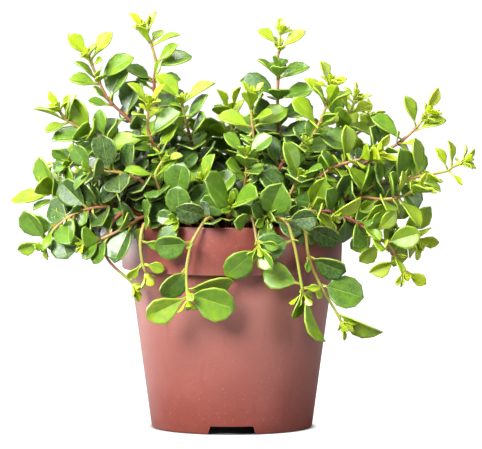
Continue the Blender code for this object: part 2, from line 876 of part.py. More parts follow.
def raise_blade(bm, face, leaf, grow=0):
    """Draws the side of a stem out into a leaf: flat-edged, folded along its middle, curled down."""
    ahead, top = leaf["ahead"], leaf["top"]
    side = top.cross(ahead)
    rising = sorted(face.verts, key=lambda v: v.co.dot(top))
    level = {v: -1 if v in rising[:2] else 1 for v in rising}
    pairs = [sorted(pair, key=lambda v: v.co.dot(side)) for pair in (rising[:2], rising[2:])]
    hand = {v: -1 if v in (pairs[0][0], pairs[1][0]) else 1 for v in rising}
    if is_creased(leaf):
        for edge in [e for e in face.edges if level[e.verts[0]] == level[e.verts[1]]]:
            level_here = level[edge.verts[0]]
            _, vert = bmesh.utils.edge_split(edge, edge.verts[0], 0.5)
            level[vert], hand[vert] = level_here, 0
    half_width = leaf["length"] * width_share(leaf["length"]) / 2
    thick = blade_thickness / 2 + grow
    for along, wide in [*sections_of(leaf), (1, 0)]:
        signs = {v.co.copy().freeze(): (level[v], hand[v]) for v in face.verts}
        face = bmesh.ops.extrude_discrete_faces(bm, faces=[face])["faces"][0]
        level, hand = {}, {}
        for vert in face.verts:
            level[vert], hand[vert] = signs[vert.co.copy().freeze()]
            across = hand[vert] * (half_width * wide + (grow if wide else 0))
            rise = -leaf["curl"] * leaf["length"] * along**2
            if is_creased(leaf):
                rise += leaf["fold"] * abs(across)
            far = along * leaf["length"] + (0 if wide else grow)
            vert.co = leaf["root"] + ahead * far + side * across + top * (rise + level[vert] * thick)
    return face


def leaf_on(stem_side, along, out, length, lean, facing, fold, curl):
    """A leaf from this side of a stem, leaning out at this angle and turned a little to the light."""
    ahead = along * math.cos(lean) + out * math.sin(lean)
    ahead.z -= droop
    ahead.normalize()
    forward = -light_forward if stem_side.y < back_half else light_forward
    light = Vector((light_outward * stem_side.x, forward, light_upward))
    top = along * math.sin(lean) - out * math.cos(lean) + light * facing
    top = (top - ahead * top.dot(ahead)).normalized()
    return {
        "root": stem_side,
        "ahead": ahead,
        "top": top,
        "length": length,
        "fold": fold,
        "curl": curl,
    }


def free_blade(leaf, start_share, grow=0):
    """The leaf by itself from this share of its length out, for telling what meets it."""
    bm = bmesh.new()
    made = bmesh.ops.create_grid(bm, x_segments=1, y_segments=1, size=0.5)
    start = start_share * leaf["length"]
    side = leaf["top"].cross(leaf["ahead"])
    for vert in made["verts"]:
        reach = math.copysign(0.7 * start_share * leaf["length"] + stem_tip_radius / 2 + grow, vert.co.x)
        rise = math.copysign(blade_thickness / 2 + grow, vert.co.y)
        vert.co = leaf["root"] + leaf["ahead"] * start + side * reach + leaf["top"] * rise
    raise_blade(bm, list(bm.faces)[0], leaf, grow)
    return bm


def touches(shape, others):
    """Whether this shape meets any of the others that lie near it."""
    tree, place, reach = solid_marks(shape)
    for other_tree, other_place, other_reach in others:
        if (place - other_place).length < reach + other_reach and tree.overlap(other_tree):
            return True
    return False


def solid_marks(bm):
    """A shape's search tree, its middle and its reach, for telling what meets it."""
    points = [v.co for v in bm.verts]
    middle = sum(points, Vector()) / len(points)
    return BVHTree.FromBMesh(bm), middle, max((p - middle).length for p in points)


def fitted_leaf(face, along, out, length, lean, others, own_parts, draw):
    """A leaf for this side of a stem, turned and shortened until it is clear of the rest, or none."""
    for attempt in range(leaf_attempts):
        swing = math.radians(draw.uniform(-1, 1) * (4 + 3 * attempt))
        leaf = leaf_on(
            face.calc_center_median(),
            along,
            (out * math.cos(swing) + along.cross(out) * math.sin(swing)).normalized(),
            (length * (1 - 0.025 * attempt) + draw.uniform(-0.8, 0.8)) * mm,
            math.radians(lean + draw.uniform(-1, 1) * (3 + 2 * attempt)),
            draw.uniform(0.4, 1.7),
            draw.uniform(0.12, 0.5),
            draw.uniform(0.0, 0.16),
        )
        whole = free_blade(leaf, 0.02, clearance)
        outer = free_blade(leaf, 0.16, clearance)
        clear = not touches(whole, others) and not touches(outer, own_parts)
        whole.free()
        outer.free()
        if clear:
            return leaf
    return None


def grow_leaves(bm, sides, course, whorls, others, draw):
    """Draws the leaves of one stem out of its sides, from the tip down, and returns their marks."""
    own_parts = [solid_marks(bm)]
    for index, (place, count, length, lean, turn) in enumerate(whorls):
        along = point_along(course[1:], min(place, 0.995))[1]
        right, back = directions(along)
        for i in range(count):
            quarter = i * 4 // count
            angle = math.radians(turn + 90 * quarter)
            out = right * math.cos(angle) + back * math.sin(angle)
            face = sides[index, quarter]
            leaf = fitted_leaf(face, along, out, length, lean, others, own_parts, draw)
            if leaf:
                raise_blade(bm, face, leaf)
                lone = free_blade(leaf, 0.02)
                own_parts.append(solid_marks(lone))
                lone.free()
    bmesh.ops.remove_doubles(bm, verts=bm.verts, dist=0.00001)
    bmesh.ops.triangulate(bm, faces=bm.faces)
    return own_parts


def back_stems(draw):
    """Stems for the back and the middle: low ones reach out, and inner ones stand up."""
    stems = []
    for i in range(back_stem_count):
        share = i / (back_stem_count - 1)
        angle = math.radians(back_first_angle + share * (back_last_angle - back_first_angle))
        outer = i % 2 == 0
        reach = (outer_back_reach if outer else inner_back_reach) + draw.uniform(-8, 8)
        height = (outer_back_height if outer else inner_back_height) + draw.uniform(-9, 12)
        root = 40 if outer else 27
        way = [
            (root * math.cos(angle), root * math.sin(angle)),
            (0.6 * reach * math.cos(angle), 0.6 * reach * math.sin(angle), 0.5 * height + 62),
            (0.85 * reach * math.cos(angle), 0.85 * reach * math.sin(angle), 0.9 * height + 14),
            (reach * math.cos(angle), reach * math.sin(angle), height),
        ]
        stems.append((f"back_{i + 1}", way, SPREADING if outer else RISING))
    for i in range(middle_stem_count):
        angle = math.radians(65 + 60 * i)
        way = [(21 * math.cos(angle), 21 * math.sin(angle))]
        way += [(26 * math.cos(angle), 26 * math.sin(angle), 134)]
        way += [(36 * math.cos(angle), 36 * math.sin(angle), 160)]
        stems.append((f"middle_{i + 1}", way, RISING))
    return stems


def evaluated_marks(obj):
    bm = bmesh.new()
    bm.from_object(obj, bpy.context.evaluated_depsgraph_get())
    marks = solid_marks(bm)
    bm.free()
    return marks


def stem_hole(name, course, collection):
    """A square hole round a stem's foot, a gap wider than the stem on every side."""
    half_side = stem_base_radius / math.sqrt(2) + gap
    low = course[0].z - gap
    high = low + 2 * stem_hole_depth
    return prism(name, half_side * math.sqrt(2), low, high, course[0].x, course[0].y, 4, collection)


def move_to_middle(objects):
    """Moves everything so that the origin lies under the middle of the box round these objects."""
    graph = bpy.context.evaluated_depsgraph_get()
    points = [v.co.copy() for obj in objects for v in obj.evaluated_get(graph).data.vertices]
    middle_x, middle_y = [(min(p[i] for p in points) + max(p[i] for p in points)) / 2 for i in (0, 1)]
    for obj in bpy.data.objects:
        obj.location = (-middle_x, -middle_y, 0)


def make_plant():
    parts = new_collection("trailing_jade_peperomia")
    pot_cutters = new_collection("pot_cutters")
    stem_holes = new_collection("stem_holes")
    pot = make_pot(parts, pot_cutters, material("pot"))
    soil = make_soil(parts, material("soil"))
    bpy.context.view_layer.update()
    taken = [evaluated_marks(obj) for obj in (pot, soil)]
    draw = random.Random(growth_seed)
    stems = TALL_STEMS + SIDE_STEMS + HANGING_STEMS + FRONT_STEMS + back_stems(draw)
    courses, lines = [], []
    for name, waypoints, whorls in stems:
        courses.append(bent_clear(stem_course(waypoints), whorls, lines, draw))
        lines.append(ring_line(courses[-1], whorls))
    bare = [bare_stem(course, whorls) for course, (_, _, whorls) in zip(courses, stems)]
    stem_marks = [solid_marks(bm) for bm, _ in bare]
    leaf_finish = material("leafy_stem")
    for (name, _, whorls), course, (bm, sides), own in zip(stems, courses, bare, stem_marks):
        others = taken + [marks for marks in stem_marks if marks is not own]
        taken += grow_leaves(bm, sides, course, whorls, others, draw)
        add_object("stem_" + name, mesh_from(bm, name), parts, leaf_finish)
        stem_hole("hole_" + name, course, stem_holes)
    cut(pot, pot_cutters)
    cut(soil, stem_holes)
    bpy.context.view_layer.update()
    move_to_middle(parts.objects)


clear_scene()
make_plant()
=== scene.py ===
import math
import random
from itertools import combinations

import bmesh
import bpy
from mathutils import Matrix, Vector
from mathutils.bvhtree import BVHTree


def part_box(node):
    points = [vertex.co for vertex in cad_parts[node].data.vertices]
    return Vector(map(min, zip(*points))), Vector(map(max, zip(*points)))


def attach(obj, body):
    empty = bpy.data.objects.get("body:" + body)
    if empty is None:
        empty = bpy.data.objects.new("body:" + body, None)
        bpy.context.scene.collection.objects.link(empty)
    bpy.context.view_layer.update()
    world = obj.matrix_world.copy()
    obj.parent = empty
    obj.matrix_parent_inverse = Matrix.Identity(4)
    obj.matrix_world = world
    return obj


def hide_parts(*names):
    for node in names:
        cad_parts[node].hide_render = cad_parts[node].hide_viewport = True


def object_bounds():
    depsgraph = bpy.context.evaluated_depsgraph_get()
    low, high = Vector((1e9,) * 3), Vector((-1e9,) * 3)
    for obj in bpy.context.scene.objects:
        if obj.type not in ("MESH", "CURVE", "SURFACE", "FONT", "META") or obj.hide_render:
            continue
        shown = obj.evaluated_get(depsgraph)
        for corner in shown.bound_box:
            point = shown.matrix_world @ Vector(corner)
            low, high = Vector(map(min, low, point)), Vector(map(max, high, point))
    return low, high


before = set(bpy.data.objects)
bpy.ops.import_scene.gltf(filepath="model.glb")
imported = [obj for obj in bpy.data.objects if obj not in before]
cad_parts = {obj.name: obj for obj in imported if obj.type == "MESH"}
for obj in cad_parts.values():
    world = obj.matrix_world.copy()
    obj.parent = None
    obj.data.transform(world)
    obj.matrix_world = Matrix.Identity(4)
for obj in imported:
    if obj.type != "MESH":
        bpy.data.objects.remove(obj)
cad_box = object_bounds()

# Pot. A thin tapered nursery pot with a straight collar, moulded in one shot from reddish-brown
# polypropylene. Its foot ring has notches that let water out, and its base has drain holes.
mm = 0.001
pot_low, pot_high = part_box("pot")
pot_axis = Vector(((pot_low.x + pot_high.x) / 2, (pot_low.y + pot_high.y) / 2, 0))
pot_height = pot_high.z
rim_radius = (pot_high.x - pot_low.x) / 2
collar_drop = 25.6 * mm
collar_radius = rim_radius - 0.8 * mm
body_top_radius = rim_radius - 4.9 * mm
foot_radius = rim_radius - 16.5 * mm
pot_wall = 1.4 * mm
base_underside = 5 * mm
foot_chamfer = 1.2 * mm
pot_facets = 120
body_rings = [z * mm for z in (72, 56, 40, 26, 15, 8)]
pot_edge_rounding = 0.45 * mm
rounding_steps = 3
weld_distance = 0.01 * mm
notch_count = 3
notch_height = 4.5 * mm
notch_top_width = 23 * mm
notch_bottom_width = 26 * mm
notch_inwards = 5 * mm
notch_outwards = 3 * mm
notch_below = 1 * mm
drain_hole_count = 6
drain_hole_radius = 4 * mm
drain_hole_ring = 27 * mm
drain_cutter_depth = 6 * mm
drain_facets = 24


def linear(hex_colour):
    """An sRGB hex colour as linear light with full alpha."""
    shares = [int(hex_colour[i : i + 2], 16) / 255 for i in (1, 3, 5)]
    return (*[c / 12.92 if c <= 0.04045 else ((c + 0.055) / 1.055) ** 2.4 for c in shares], 1)


def finish_named(name):
    """A new material with its nodes, and the shader to set up."""
    made = bpy.data.materials.new(name)
    made.use_nodes = True
    return made, made.node_tree.nodes["Principled BSDF"]


def add_node(finish, kind, settings=(), values=(), links=()):
    """One shader node with its settings, socket values, and links into its sockets."""
    made = finish.node_tree.nodes.new(kind)
    for name, value in dict(settings).items():
        setattr(made, name, value)
    for name, value in dict(values).items():
        made.inputs[name].default_value = value
    for name, output in dict(links).items():
        finish.node_tree.links.new(output, made.inputs[name])
    return made


def link(finish, output, socket):
    """Joins a node's output to one of the shader's own sockets."""
    finish.node_tree.links.new(output, socket)


def colour_stops(ramp, stops):
    """Sets a colour ramp's stops from (place, hex) pairs."""
    elements = ramp.color_ramp.elements
    while len(elements) < len(stops):
        elements.new(0.5)
    for element, (place, colour) in zip(elements, stops):
        element.position = place
        element.color = linear(colour)


def add_piece(name, bm, finishes, slot, *nodes):
    """A finished piece, moved onto the pot's axis. It rides on the root and replaces these nodes."""
    bmesh.ops.translate(bm, verts=bm.verts, vec=pot_axis)
    mesh = bpy.data.meshes.new(name)
    bm.to_mesh(mesh)
    bm.free()
    for finish in finishes:
        mesh.materials.append(finish)
    piece = bpy.data.objects.new(name, mesh)
    bpy.context.scene.collection.objects.link(piece)
    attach(piece, "root")
    if nodes:
        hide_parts(*nodes)
    return piece


def spun(profile, facets):
    """A (radius, height) profile turned round the pot's axis into a closed shell."""
    bm = bmesh.new()
    points = [bm.verts.new((radius, 0, height)) for radius, height in profile]
    edges = [bm.edges.new(pair) for pair in zip(points, points[1:])]
    bmesh.ops.spin(
        bm, geom=points + edges, axis=(0, 0, 1), cent=(0, 0, 0), steps=facets, angle=math.tau,
        use_merge=True,
    )
    bmesh.ops.remove_doubles(bm, verts=bm.verts, dist=weld_distance)
    bmesh.ops.recalc_face_normals(bm, faces=bm.faces)
    return bm


def round_edges(bm, width, least_angle):
    """Rounds the edges that turn by more than this angle."""
    sharp = [e for e in bm.edges if len(e.link_faces) == 2 and e.calc_face_angle() > least_angle]
    bmesh.ops.bevel(
        bm, geom=sharp, offset=width, offset_type="OFFSET", affect="EDGES", segments=rounding_steps,
        profile=0.5, material=-1, clamp_overlap=True,
    )


def cutter_object(name, bm):
    """A block to cut with, moved onto the pot's axis."""
    bmesh.ops.translate(bm, verts=bm.verts, vec=pot_axis)
    mesh = bpy.data.meshes.new(name)
    bm.to_mesh(mesh)
    bm.free()
    obj = bpy.data.objects.new(name, mesh)
    bpy.context.scene.collection.objects.link(obj)
    return obj


def cut_out(piece, cutters):
    """Cuts these out of the piece for good and removes them."""
    for cutter in cutters:
        boolean = piece.modifiers.new(cutter.name, "BOOLEAN")
        boolean.operation = "DIFFERENCE"
        boolean.object = cutter
        boolean.solver = "EXACT"
    bpy.context.view_layer.update()
    evaluated = piece.evaluated_get(bpy.context.evaluated_depsgraph_get())
    cut_mesh = bpy.data.meshes.new_from_object(evaluated)
    piece.modifiers.clear()
    piece.data = cut_mesh
    for cutter in cutters:
        bpy.data.objects.remove(cutter)


def pot_profile():
    """From the middle of the inner floor, up the inside, over the rim and down to the underside."""
    collar_bottom = pot_height - collar_drop
    slope = (body_top_radius - foot_radius) / (collar_bottom - foot_chamfer)
    floor = base_underside + pot_wall
    ring = foot_radius - 0.5 * foot_chamfer
    return [
        (0, floor),
        (foot_radius + floor * slope - pot_wall, floor),
        (body_top_radius - pot_wall, collar_bottom + pot_wall),
        (collar_radius - pot_wall, collar_bottom + 2 * pot_wall),
        (rim_radius - pot_wall, pot_height),
        (rim_radius, pot_height),
        (collar_radius, collar_bottom),
        (body_top_radius, collar_bottom),
        *[(foot_radius + (z - foot_chamfer) * slope, z) for z in body_rings],
        (foot_radius, foot_chamfer),
        (ring, 0),
        (ring - pot_wall, 0),
        (ring - pot_wall, base_underside),
        (0, base_underside),
    ]


def notch_cutter(turn):
    """A block with a wider foot, laid across the foot ring."""
    bm = bmesh.new()
    bmesh.ops.create_cube(bm, size=1)
    for vert in bm.verts:
        top = vert.co.z > 0
        vert.co.x = foot_radius + (notch_outwards if vert.co.x > 0 else -notch_inwards)
        vert.co.y = math.copysign((notch_top_width if top else notch_bottom_width) / 2, vert.co.y)
        vert.co.z = notch_height if top else -notch_below
    bmesh.ops.rotate(bm, verts=bm.verts, matrix=Matrix.Rotation(turn, 3, "Z"))
    return cutter_object("notch", bm)


def drain_cutter(turn):
    """A round pin, set through the base."""
    bm = bmesh.new()
    place = Vector((drain_hole_ring * math.cos(turn), drain_hole_ring * math.sin(turn), base_underside))
    bmesh.ops.create_cone(
        bm, cap_ends=True, segments=drain_facets, radius1=drain_hole_radius, radius2=drain_hole_radius,
        depth=drain_cutter_depth, matrix=Matrix.Translation(place),
    )
    return cutter_object("drain", bm)


def moulded_polypropylene():
    """Moulded polypropylene: red-brown with a soft gloss and a faint orange peel. Painted light pales it
    towards the middle of its height, with painted shade left at the foot and a painted shadow of the
    leaves at the collar, and upright scuffs show where pots were stacked in each other.
    The peel is about 0.3 mm across on the real pot and is drawn twice as coarse, so that it shows."""
    patch, speck, peel_size = 38.46 * mm, 1.111 * mm, 0.625 * mm
    scuff_width, scuff_length = 7.143 * mm, 71.43 * mm
    made, shader = finish_named("moulded polypropylene, red-brown")
    coords = add_node(made, "ShaderNodeTexCoord").outputs["Object"]
    bloom = add_node(
        made, "ShaderNodeTexNoise", values={"Scale": 1 / patch, "Detail": 5, "Roughness": 0.65},
        links={"Vector": coords},
    )
    tone = add_node(made, "ShaderNodeValToRGB", links={"Fac": bloom.outputs["Fac"]})
    colour_stops(tone, [(0.3, "#76342a"), (0.55, "#7f3b31"), (0.8, "#88453c")])
    height = add_node(made, "ShaderNodeSeparateXYZ", links={"Vector": coords})
    # Painted light and shade: paler towards the middle of the pot's height, darker at the foot as painted
    # shade, and darker again at the collar as the leaves' painted shadow.
    painted_light_by_height = add_node(
        made, "ShaderNodeMapRange",
        values={"From Min": 10 * mm, "From Max": 70 * mm, "To Min": 0, "To Max": 0.38},
        links={"Value": height.outputs["Z"]},
    )
    painted_collar_shade = add_node(
        made, "ShaderNodeMapRange",
        values={"From Min": 72 * mm, "From Max": 92 * mm, "To Min": 1, "To Max": 0.1},
        links={"Value": height.outputs["Z"]},
    )
    painted_light_share = add_node(
        made, "ShaderNodeMath", {"operation": "MULTIPLY"},
        links={0: painted_light_by_height.outputs["Result"], 1: painted_collar_shade.outputs["Result"]},
    )
    painted_light_tone = add_node(
        made, "ShaderNodeMix", {"data_type": "RGBA"}, {"B": linear("#c08a80")},
        {"Factor": painted_light_share.outputs["Value"], "A": tone.outputs["Color"]},
    )
    upright = add_node(
        made, "ShaderNodeMapping",
        values={"Scale": (1 / scuff_width, 1 / scuff_width, 1 / scuff_length)}, links={"Vector": coords},
    )
    streaks = add_node(
        made, "ShaderNodeTexNoise", values={"Scale": 1, "Detail": 6, "Roughness": 0.62},
        links={"Vector": upright.outputs["Vector"]},
    )
    scuff = add_node(
        made, "ShaderNodeMapRange",
        values={"From Min": 0.6, "From Max": 0.75, "To Min": 0, "To Max": 0.5},
        links={"Value": streaks.outputs["Fac"]},
    )
    scuffed = add_node(
        made, "ShaderNodeMix", {"data_type": "RGBA"}, {"B": linear("#6f2e26")},
        {"Factor": scuff.outputs["Result"], "A": painted_light_tone.outputs["Result"]},
    )
    specks = add_node(
        made, "ShaderNodeTexNoise", values={"Scale": 1 / speck, "Detail": 3}, links={"Vector": coords}
    )
    dust = add_node(
        made, "ShaderNodeMapRange",
        values={"From Min": 0.62, "From Max": 0.78, "To Min": 0, "To Max": 0.35},
        links={"Value": specks.outputs["Fac"]},
    )
    dusted = add_node(
        made, "ShaderNodeMix", {"data_type": "RGBA"}, {"B": linear("#b98a80")},
        {"Factor": dust.outputs["Result"], "A": scuffed.outputs["Result"]},
    )
    link(made, dusted.outputs["Result"], shader.inputs["Base Color"])
    dullness = add_node(
        made, "ShaderNodeMapRange",
        values={"From Min": 0.3, "From Max": 0.7, "To Min": 0.32, "To Max": 0.46},
        links={"Value": bloom.outputs["Fac"]},
    )
    link(made, dullness.outputs["Result"], shader.inputs["Roughness"])
    peel = add_node(
        made, "ShaderNodeTexNoise", values={"Scale": 1 / peel_size, "Detail": 2}, links={"Vector": coords}
    )
    bump = add_node(
        made, "ShaderNodeBump", values={"Strength": 0.12, "Distance": 0.2 * mm},
        links={"Height": peel.outputs["Fac"]},
    )
    link(made, bump.outputs["Normal"], shader.inputs["Normal"])
    shader.inputs["IOR"].default_value = 1.49
    shader.inputs["Specular IOR Level"].default_value = 0.6
    return made


pot_shell = spun(pot_profile(), pot_facets)
round_edges(pot_shell, pot_edge_rounding, math.radians(30))
for face in pot_shell.faces:
    face.smooth = True
pot = add_piece("nursery_pot", pot_shell, [moulded_polypropylene()], "pot", "pot")
turns = [math.radians(-90) + i * math.tau / notch_count for i in range(notch_count)]
hole_turns = [(i + 0.5) * math.tau / drain_hole_count for i in range(drain_hole_count)]
cut_out(pot, [notch_cutter(turn) for turn in turns] + [drain_cutter(turn) for turn in hole_turns])
pot.data.set_sharp_from_angle(angle=math.radians(40))

# Soil. Moist potting mix of dark peat and bark, pressed into the pot by hand to just under its
# rim. Crumbs and bark chips lie loose on it between the stems.
soil_low, soil_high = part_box("soil")
soil_radius = (soil_high.x - soil_low.x) / 2
soil_crown = soil_high.z
soil_fall = 3 * mm
soil_facets = 72
soil_rings = 22
soil_slack = 0.3 * mm
dimple_mm = 1.3
jitter_mm = 0.5
crumb_count = 900
crumb_mm = (0.4, 1.1)
chip_count = 70
chip_mm = (1.2, 2.4)
crumb_margin = 2.5 * mm


def soil_level(x, y):
    """The height of the soil's surface, a shallow dome."""
    return soil_crown - soil_fall * min(1, math.hypot(x, y) / soil_radius) ** 2


def moist_potting_mix():
    """Peat and bark: nearly black when moist, with browner patches and matt crumbs of 1 to 2 mm."""
    crumb, damp_patch = 1.4286 * mm, 6.25 * mm
    made, shader = finish_named("potting mix of peat and bark, moist")
    coords = add_node(made, "ShaderNodeTexCoord").outputs["Object"]
    grains = add_node(made, "ShaderNodeTexVoronoi", values={"Scale": 1 / crumb}, links={"Vector": coords})
    damp = add_node(
        made, "ShaderNodeTexNoise", values={"Scale": 1 / damp_patch, "Detail": 5}, links={"Vector": coords}
    )
    tone = add_node(made, "ShaderNodeValToRGB", links={"Fac": damp.outputs["Fac"]})
    colour_stops(tone, [(0.35, "#1c1510"), (0.55, "#33261c"), (0.75, "#5a4431")])
    link(made, tone.outputs["Color"], shader.inputs["Base Color"])
    bump = add_node(
        made, "ShaderNodeBump", values={"Strength": 0.8, "Distance": 0.6 * mm},
        links={"Height": grains.outputs["Distance"]},
    )
    link(made, bump.outputs["Normal"], shader.inputs["Normal"])
    shader.inputs["Roughness"].default_value = 0.9
    return made


soil_draw = random.Random(11)
ring_radii = [soil_radius * i / soil_rings for i in range(1, soil_rings + 1)]
soil_body = spun(
    [(0, soil_crown)]
    + [(radius, soil_level(radius, 0)) for radius in ring_radii]
    + [
        (soil_radius, pot_height - collar_drop + 2 * pot_wall + soil_slack),
        (body_top_radius - pot_wall - 2 * soil_slack, pot_height - collar_drop + pot_wall),
        (foot_radius - pot_wall - 0.2 * mm, soil_low.z),
        (0, soil_low.z),
    ],
    soil_facets,
)
for vert in soil_body.verts:
    outward = math.hypot(vert.co.x, vert.co.y)
    if vert.co.z > soil_crown - soil_fall - 1 * mm and outward < soil_radius - 1 * mm:
        vert.co.z -= soil_draw.uniform(0, dimple_mm) * mm
        vert.co.x += soil_draw.uniform(-jitter_mm, jitter_mm) * mm
        vert.co.y += soil_draw.uniform(-jitter_mm, jitter_mm) * mm
for i in range(crumb_count + chip_count):
    chip = i >= crumb_count
    outward = (soil_radius - crumb_margin) * math.sqrt(soil_draw.random())
    around = soil_draw.uniform(0, math.tau)
    x, y = outward * math.cos(around), outward * math.sin(around)
    size = soil_draw.uniform(*(chip_mm if chip else crumb_mm)) * mm
    turn = Matrix.Rotation(soil_draw.uniform(0, math.tau), 4, "Z")
    turn = turn @ Matrix.Rotation(soil_draw.uniform(-0.5, 0.5), 4, "X")
    stretch = Matrix.Diagonal((soil_draw.uniform(1, 2.2) if chip else 1, 1, 0.35 if chip else 0.8, 1))
    lying = Matrix.Translation((x, y, soil_level(x, y) - 0.2 * size - 0.4 * mm)) @ turn @ stretch
    made = bmesh.ops.create_icosphere(soil_body, subdivisions=1, radius=size, matrix=lying)
    for vert in made["verts"]:
        vert.co += Vector([soil_draw.uniform(-0.22, 0.22) for _ in range(3)]) * size
add_piece("potting_mix", soil_body, [moist_potting_mix()], "soil", "soil")

# Leafy stems. Each grows out of the soil as one round fleshy shoot, pink-brown when it is older
# and green at its tip, with whorls of oval leaves. The places of the leaves and the run of every
# stem are read from the CAD solids, which have a flat-edged blade for each larger leaf.
blade_thickness = 0.7 * mm
joined_within = 0.002 * mm
measured_within = 0.003 * mm
halfway_within = 0.004 * mm
ring_pair_gap = 2 * mm
ring_reach = 2.9 * mm
stem_base_radius = 1.05 * mm
stem_tip_radius = 0.7 * mm
stalk_sides = 8
stalk_step = 3 * mm
stalk_swelling = 1.22
green_rarity = 2.5
blade_rows = 6
blade_columns = 4
leaf_edge = 0.8
many_sided_leaf = 13 * mm
petiole_length = 2.8 * mm
petiole_half_width = 0.55 * mm
petiole_root = 0.5 * mm
ripening_run = 55 * mm
bud_length_mm = 7
growth_mm = 12
mass_middle = Vector((0, 6, 112)) * mm
mass_reach = Vector((110, 78, 60)) * mm
hanging_from = 50 * mm
front_until = 12 * mm
hanging_front_until = 20 * mm
inner_whorl_step = 7 * mm
inner_whorl_leaves = 4
inner_leaf_mm = (15, 21)
inner_leaf_lean = (45, 80)
whorl_leaf_share = (0.72, 1.0)
trailing_leaf_share = (0.3, 0.5)
whorl_leaf_lean = (38, 74)
whorl_leaf_swing = 0.35
under_leaf_chance = 0.5
under_leaf_mm = (13, 20)
under_leaf_lean = (50, 90)
fill_leaves = 2
fill_leaf_mm = (10, 15)
fill_leaf_lean = (35, 80)
facing_light = (0.5, 2.2)
tries = 9
shrink_a_try = 0.05
swing_a_try = 0.12
lean_a_try = 10
rim_clearance = 1 * mm
side_clearance = 0.5 * mm
bud_count = 6
bud_mm = (4, 6)
bud_growth = 0.13
bud_turn = 2.4
bud_radius = 0.4 * mm
bud_lean = 8
bud_lean_step = 10
bud_facing_light = 0.1

leaf_draw = random.Random(23)


def once_each(things):
    """These things in their order, each named once, so that every run adds them up alike."""
    return list(dict.fromkeys(things))


def joined_copy(name):
    """The CAD node's triangles with their corners joined, as seen from the pot's axis."""
    bm = bmesh.new()
    bm.from_mesh(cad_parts[name].data)
    bmesh.ops.translate(bm, verts=bm.verts, vec=-pot_axis)
    bmesh.ops.remove_doubles(bm, verts=bm.verts, dist=joined_within)
    return bm


def direction(edge):
    return (edge.verts[1].co - edge.verts[0].co).normalized()


def middle(points):
    points = list(points)
    return sum(points, Vector()) / len(points)


def middle_of(edge):
    return (edge.verts[0].co + edge.verts[1].co) / 2


def blade_groups(bm):
    """The short upright edges round each CAD blade's rim, in a group for each blade. A small blade
    has three of them and a large one five."""
    short = [e for e in bm.edges if abs(e.calc_length() - blade_thickness) < measured_within]
    at = {}
    for edge in short:
        for vert in edge.verts:
            at.setdefault(vert, []).append(edge)
    groups, seen = [], set()
    for first in short:
        if first in seen:
            continue
        group, queue = [], [first]
        seen.add(first)
        while queue:
            edge = queue.pop()
            group.append(edge)
            for vert in edge.verts:
                for along in vert.link_edges:
                    for other in at.get(along.other_vert(vert), []):
                        if other not in seen and abs(direction(other).dot(direction(first))) > 0.9995:
                            seen.add(other)
                            queue.append(other)
        if len(group) in (3, 5):
            groups.append(group)
    return groups


def leaf_from(group):
    """A CAD blade's root, direction, upper side, length, half width, fold and curl, and its corners.
    A leaf folds up and curls down, so the upper side is turned over where they come out the other
    way."""
    own = once_each(vert for edge in group for vert in edge.verts)
    beside = once_each(edge.other_vert(vert) for vert in own for edge in vert.link_edges)
    near = [vert for vert in beside if vert not in own]
    inner = middle(vert.co for vert in near)
    tip_edge = max(group, key=lambda e: (middle_of(e) - inner).length)
    tip = middle_of(tip_edge)
    reach = max((vert.co - tip).length for vert in near)
    roots = [vert for vert in near if (vert.co - tip).length > 0.8 * reach]
    if reach < many_sided_leaf:
        roots = near
    root = middle(vert.co for vert in roots)
    top = direction(tip_edge)
    for _ in range(2):
        ahead = (tip - root) - top * (tip - root).dot(top)
        length = ahead.length
        ahead.normalize()
        side = top.cross(ahead)
        curl = -(tip - root).dot(top) / length
        half_width, folds = 0, []
        for edge in group:
            if edge is not tip_edge:
                offset = middle_of(edge) - root
                across = abs(offset.dot(side))
                along = offset.dot(ahead) / length
                half_width = max(half_width, across)
                folds.append((offset.dot(top) + curl * length * along**2) / across)
        fold = sum(folds) / len(folds)
        if fold + curl >= 0:
            break
        top = -top
    return {
        "root": root, "ahead": ahead, "top": top, "length": length, "half_width": 1.08 * half_width,
        "fold": fold, "curl": curl, "corners": set(own + near) - set(roots),
    }


def stem_run(bm, leaves):
    """The middles of the CAD stem's rings of four corners, from its foot to its tip. A corner that
    only halves one of the stem's edges, where triangles meet, is stepped over."""
    leaf_corners = set().union(*[leaf["corners"] for leaf in leaves]) if leaves else set()
    stem = set(bm.verts) - leaf_corners
    halfway = {}
    for vert in stem:
        beside = [e.other_vert(vert) for e in vert.link_edges]
        for i, a in enumerate(beside):
            for b in beside[i + 1 :]:
                off_middle = ((a.co + b.co) / 2 - vert.co).length
                if (a.co - b.co).length < ring_pair_gap and off_middle < halfway_within:
                    halfway[vert] = [a, b]
    stem -= set(halfway)
    inside = soil_radius - 1 * mm
    low = [v for v in bm.verts if v in stem and v.co.z < soil_crown - 5 * mm]
    layer = [v for v in low if math.hypot(v.co.x, v.co.y) < inside]
    run, centre = [], middle(vert.co for vert in layer)
    while layer:
        nearest = min(layer, key=lambda v: (v.co - centre).length)
        layer = [v for v in layer if (v.co - nearest.co).length < ring_reach]
        a, b = max(combinations([nearest, *layer], 2), key=lambda pair: (pair[0].co - pair[1].co).length)
        centre = (a.co + b.co) / 2
        run.append(centre)
        stem -= set(layer)
        beside = once_each(e.other_vert(vert) for vert in layer for e in vert.link_edges)
        bridges = [halfway[v] for v in beside if v in halfway]
        beyond = [v for ends in bridges if any(end in layer for end in ends) for v in ends]
        layer = [v for v in once_each(beside + beyond) if v in stem]
    joined = [run[0]]
    for centre in run[1:]:
        if (centre - joined[-1]).length < ring_pair_gap:
            joined[-1] = (joined[-1] + centre) / 2
        else:
            joined.append(centre)
    return joined


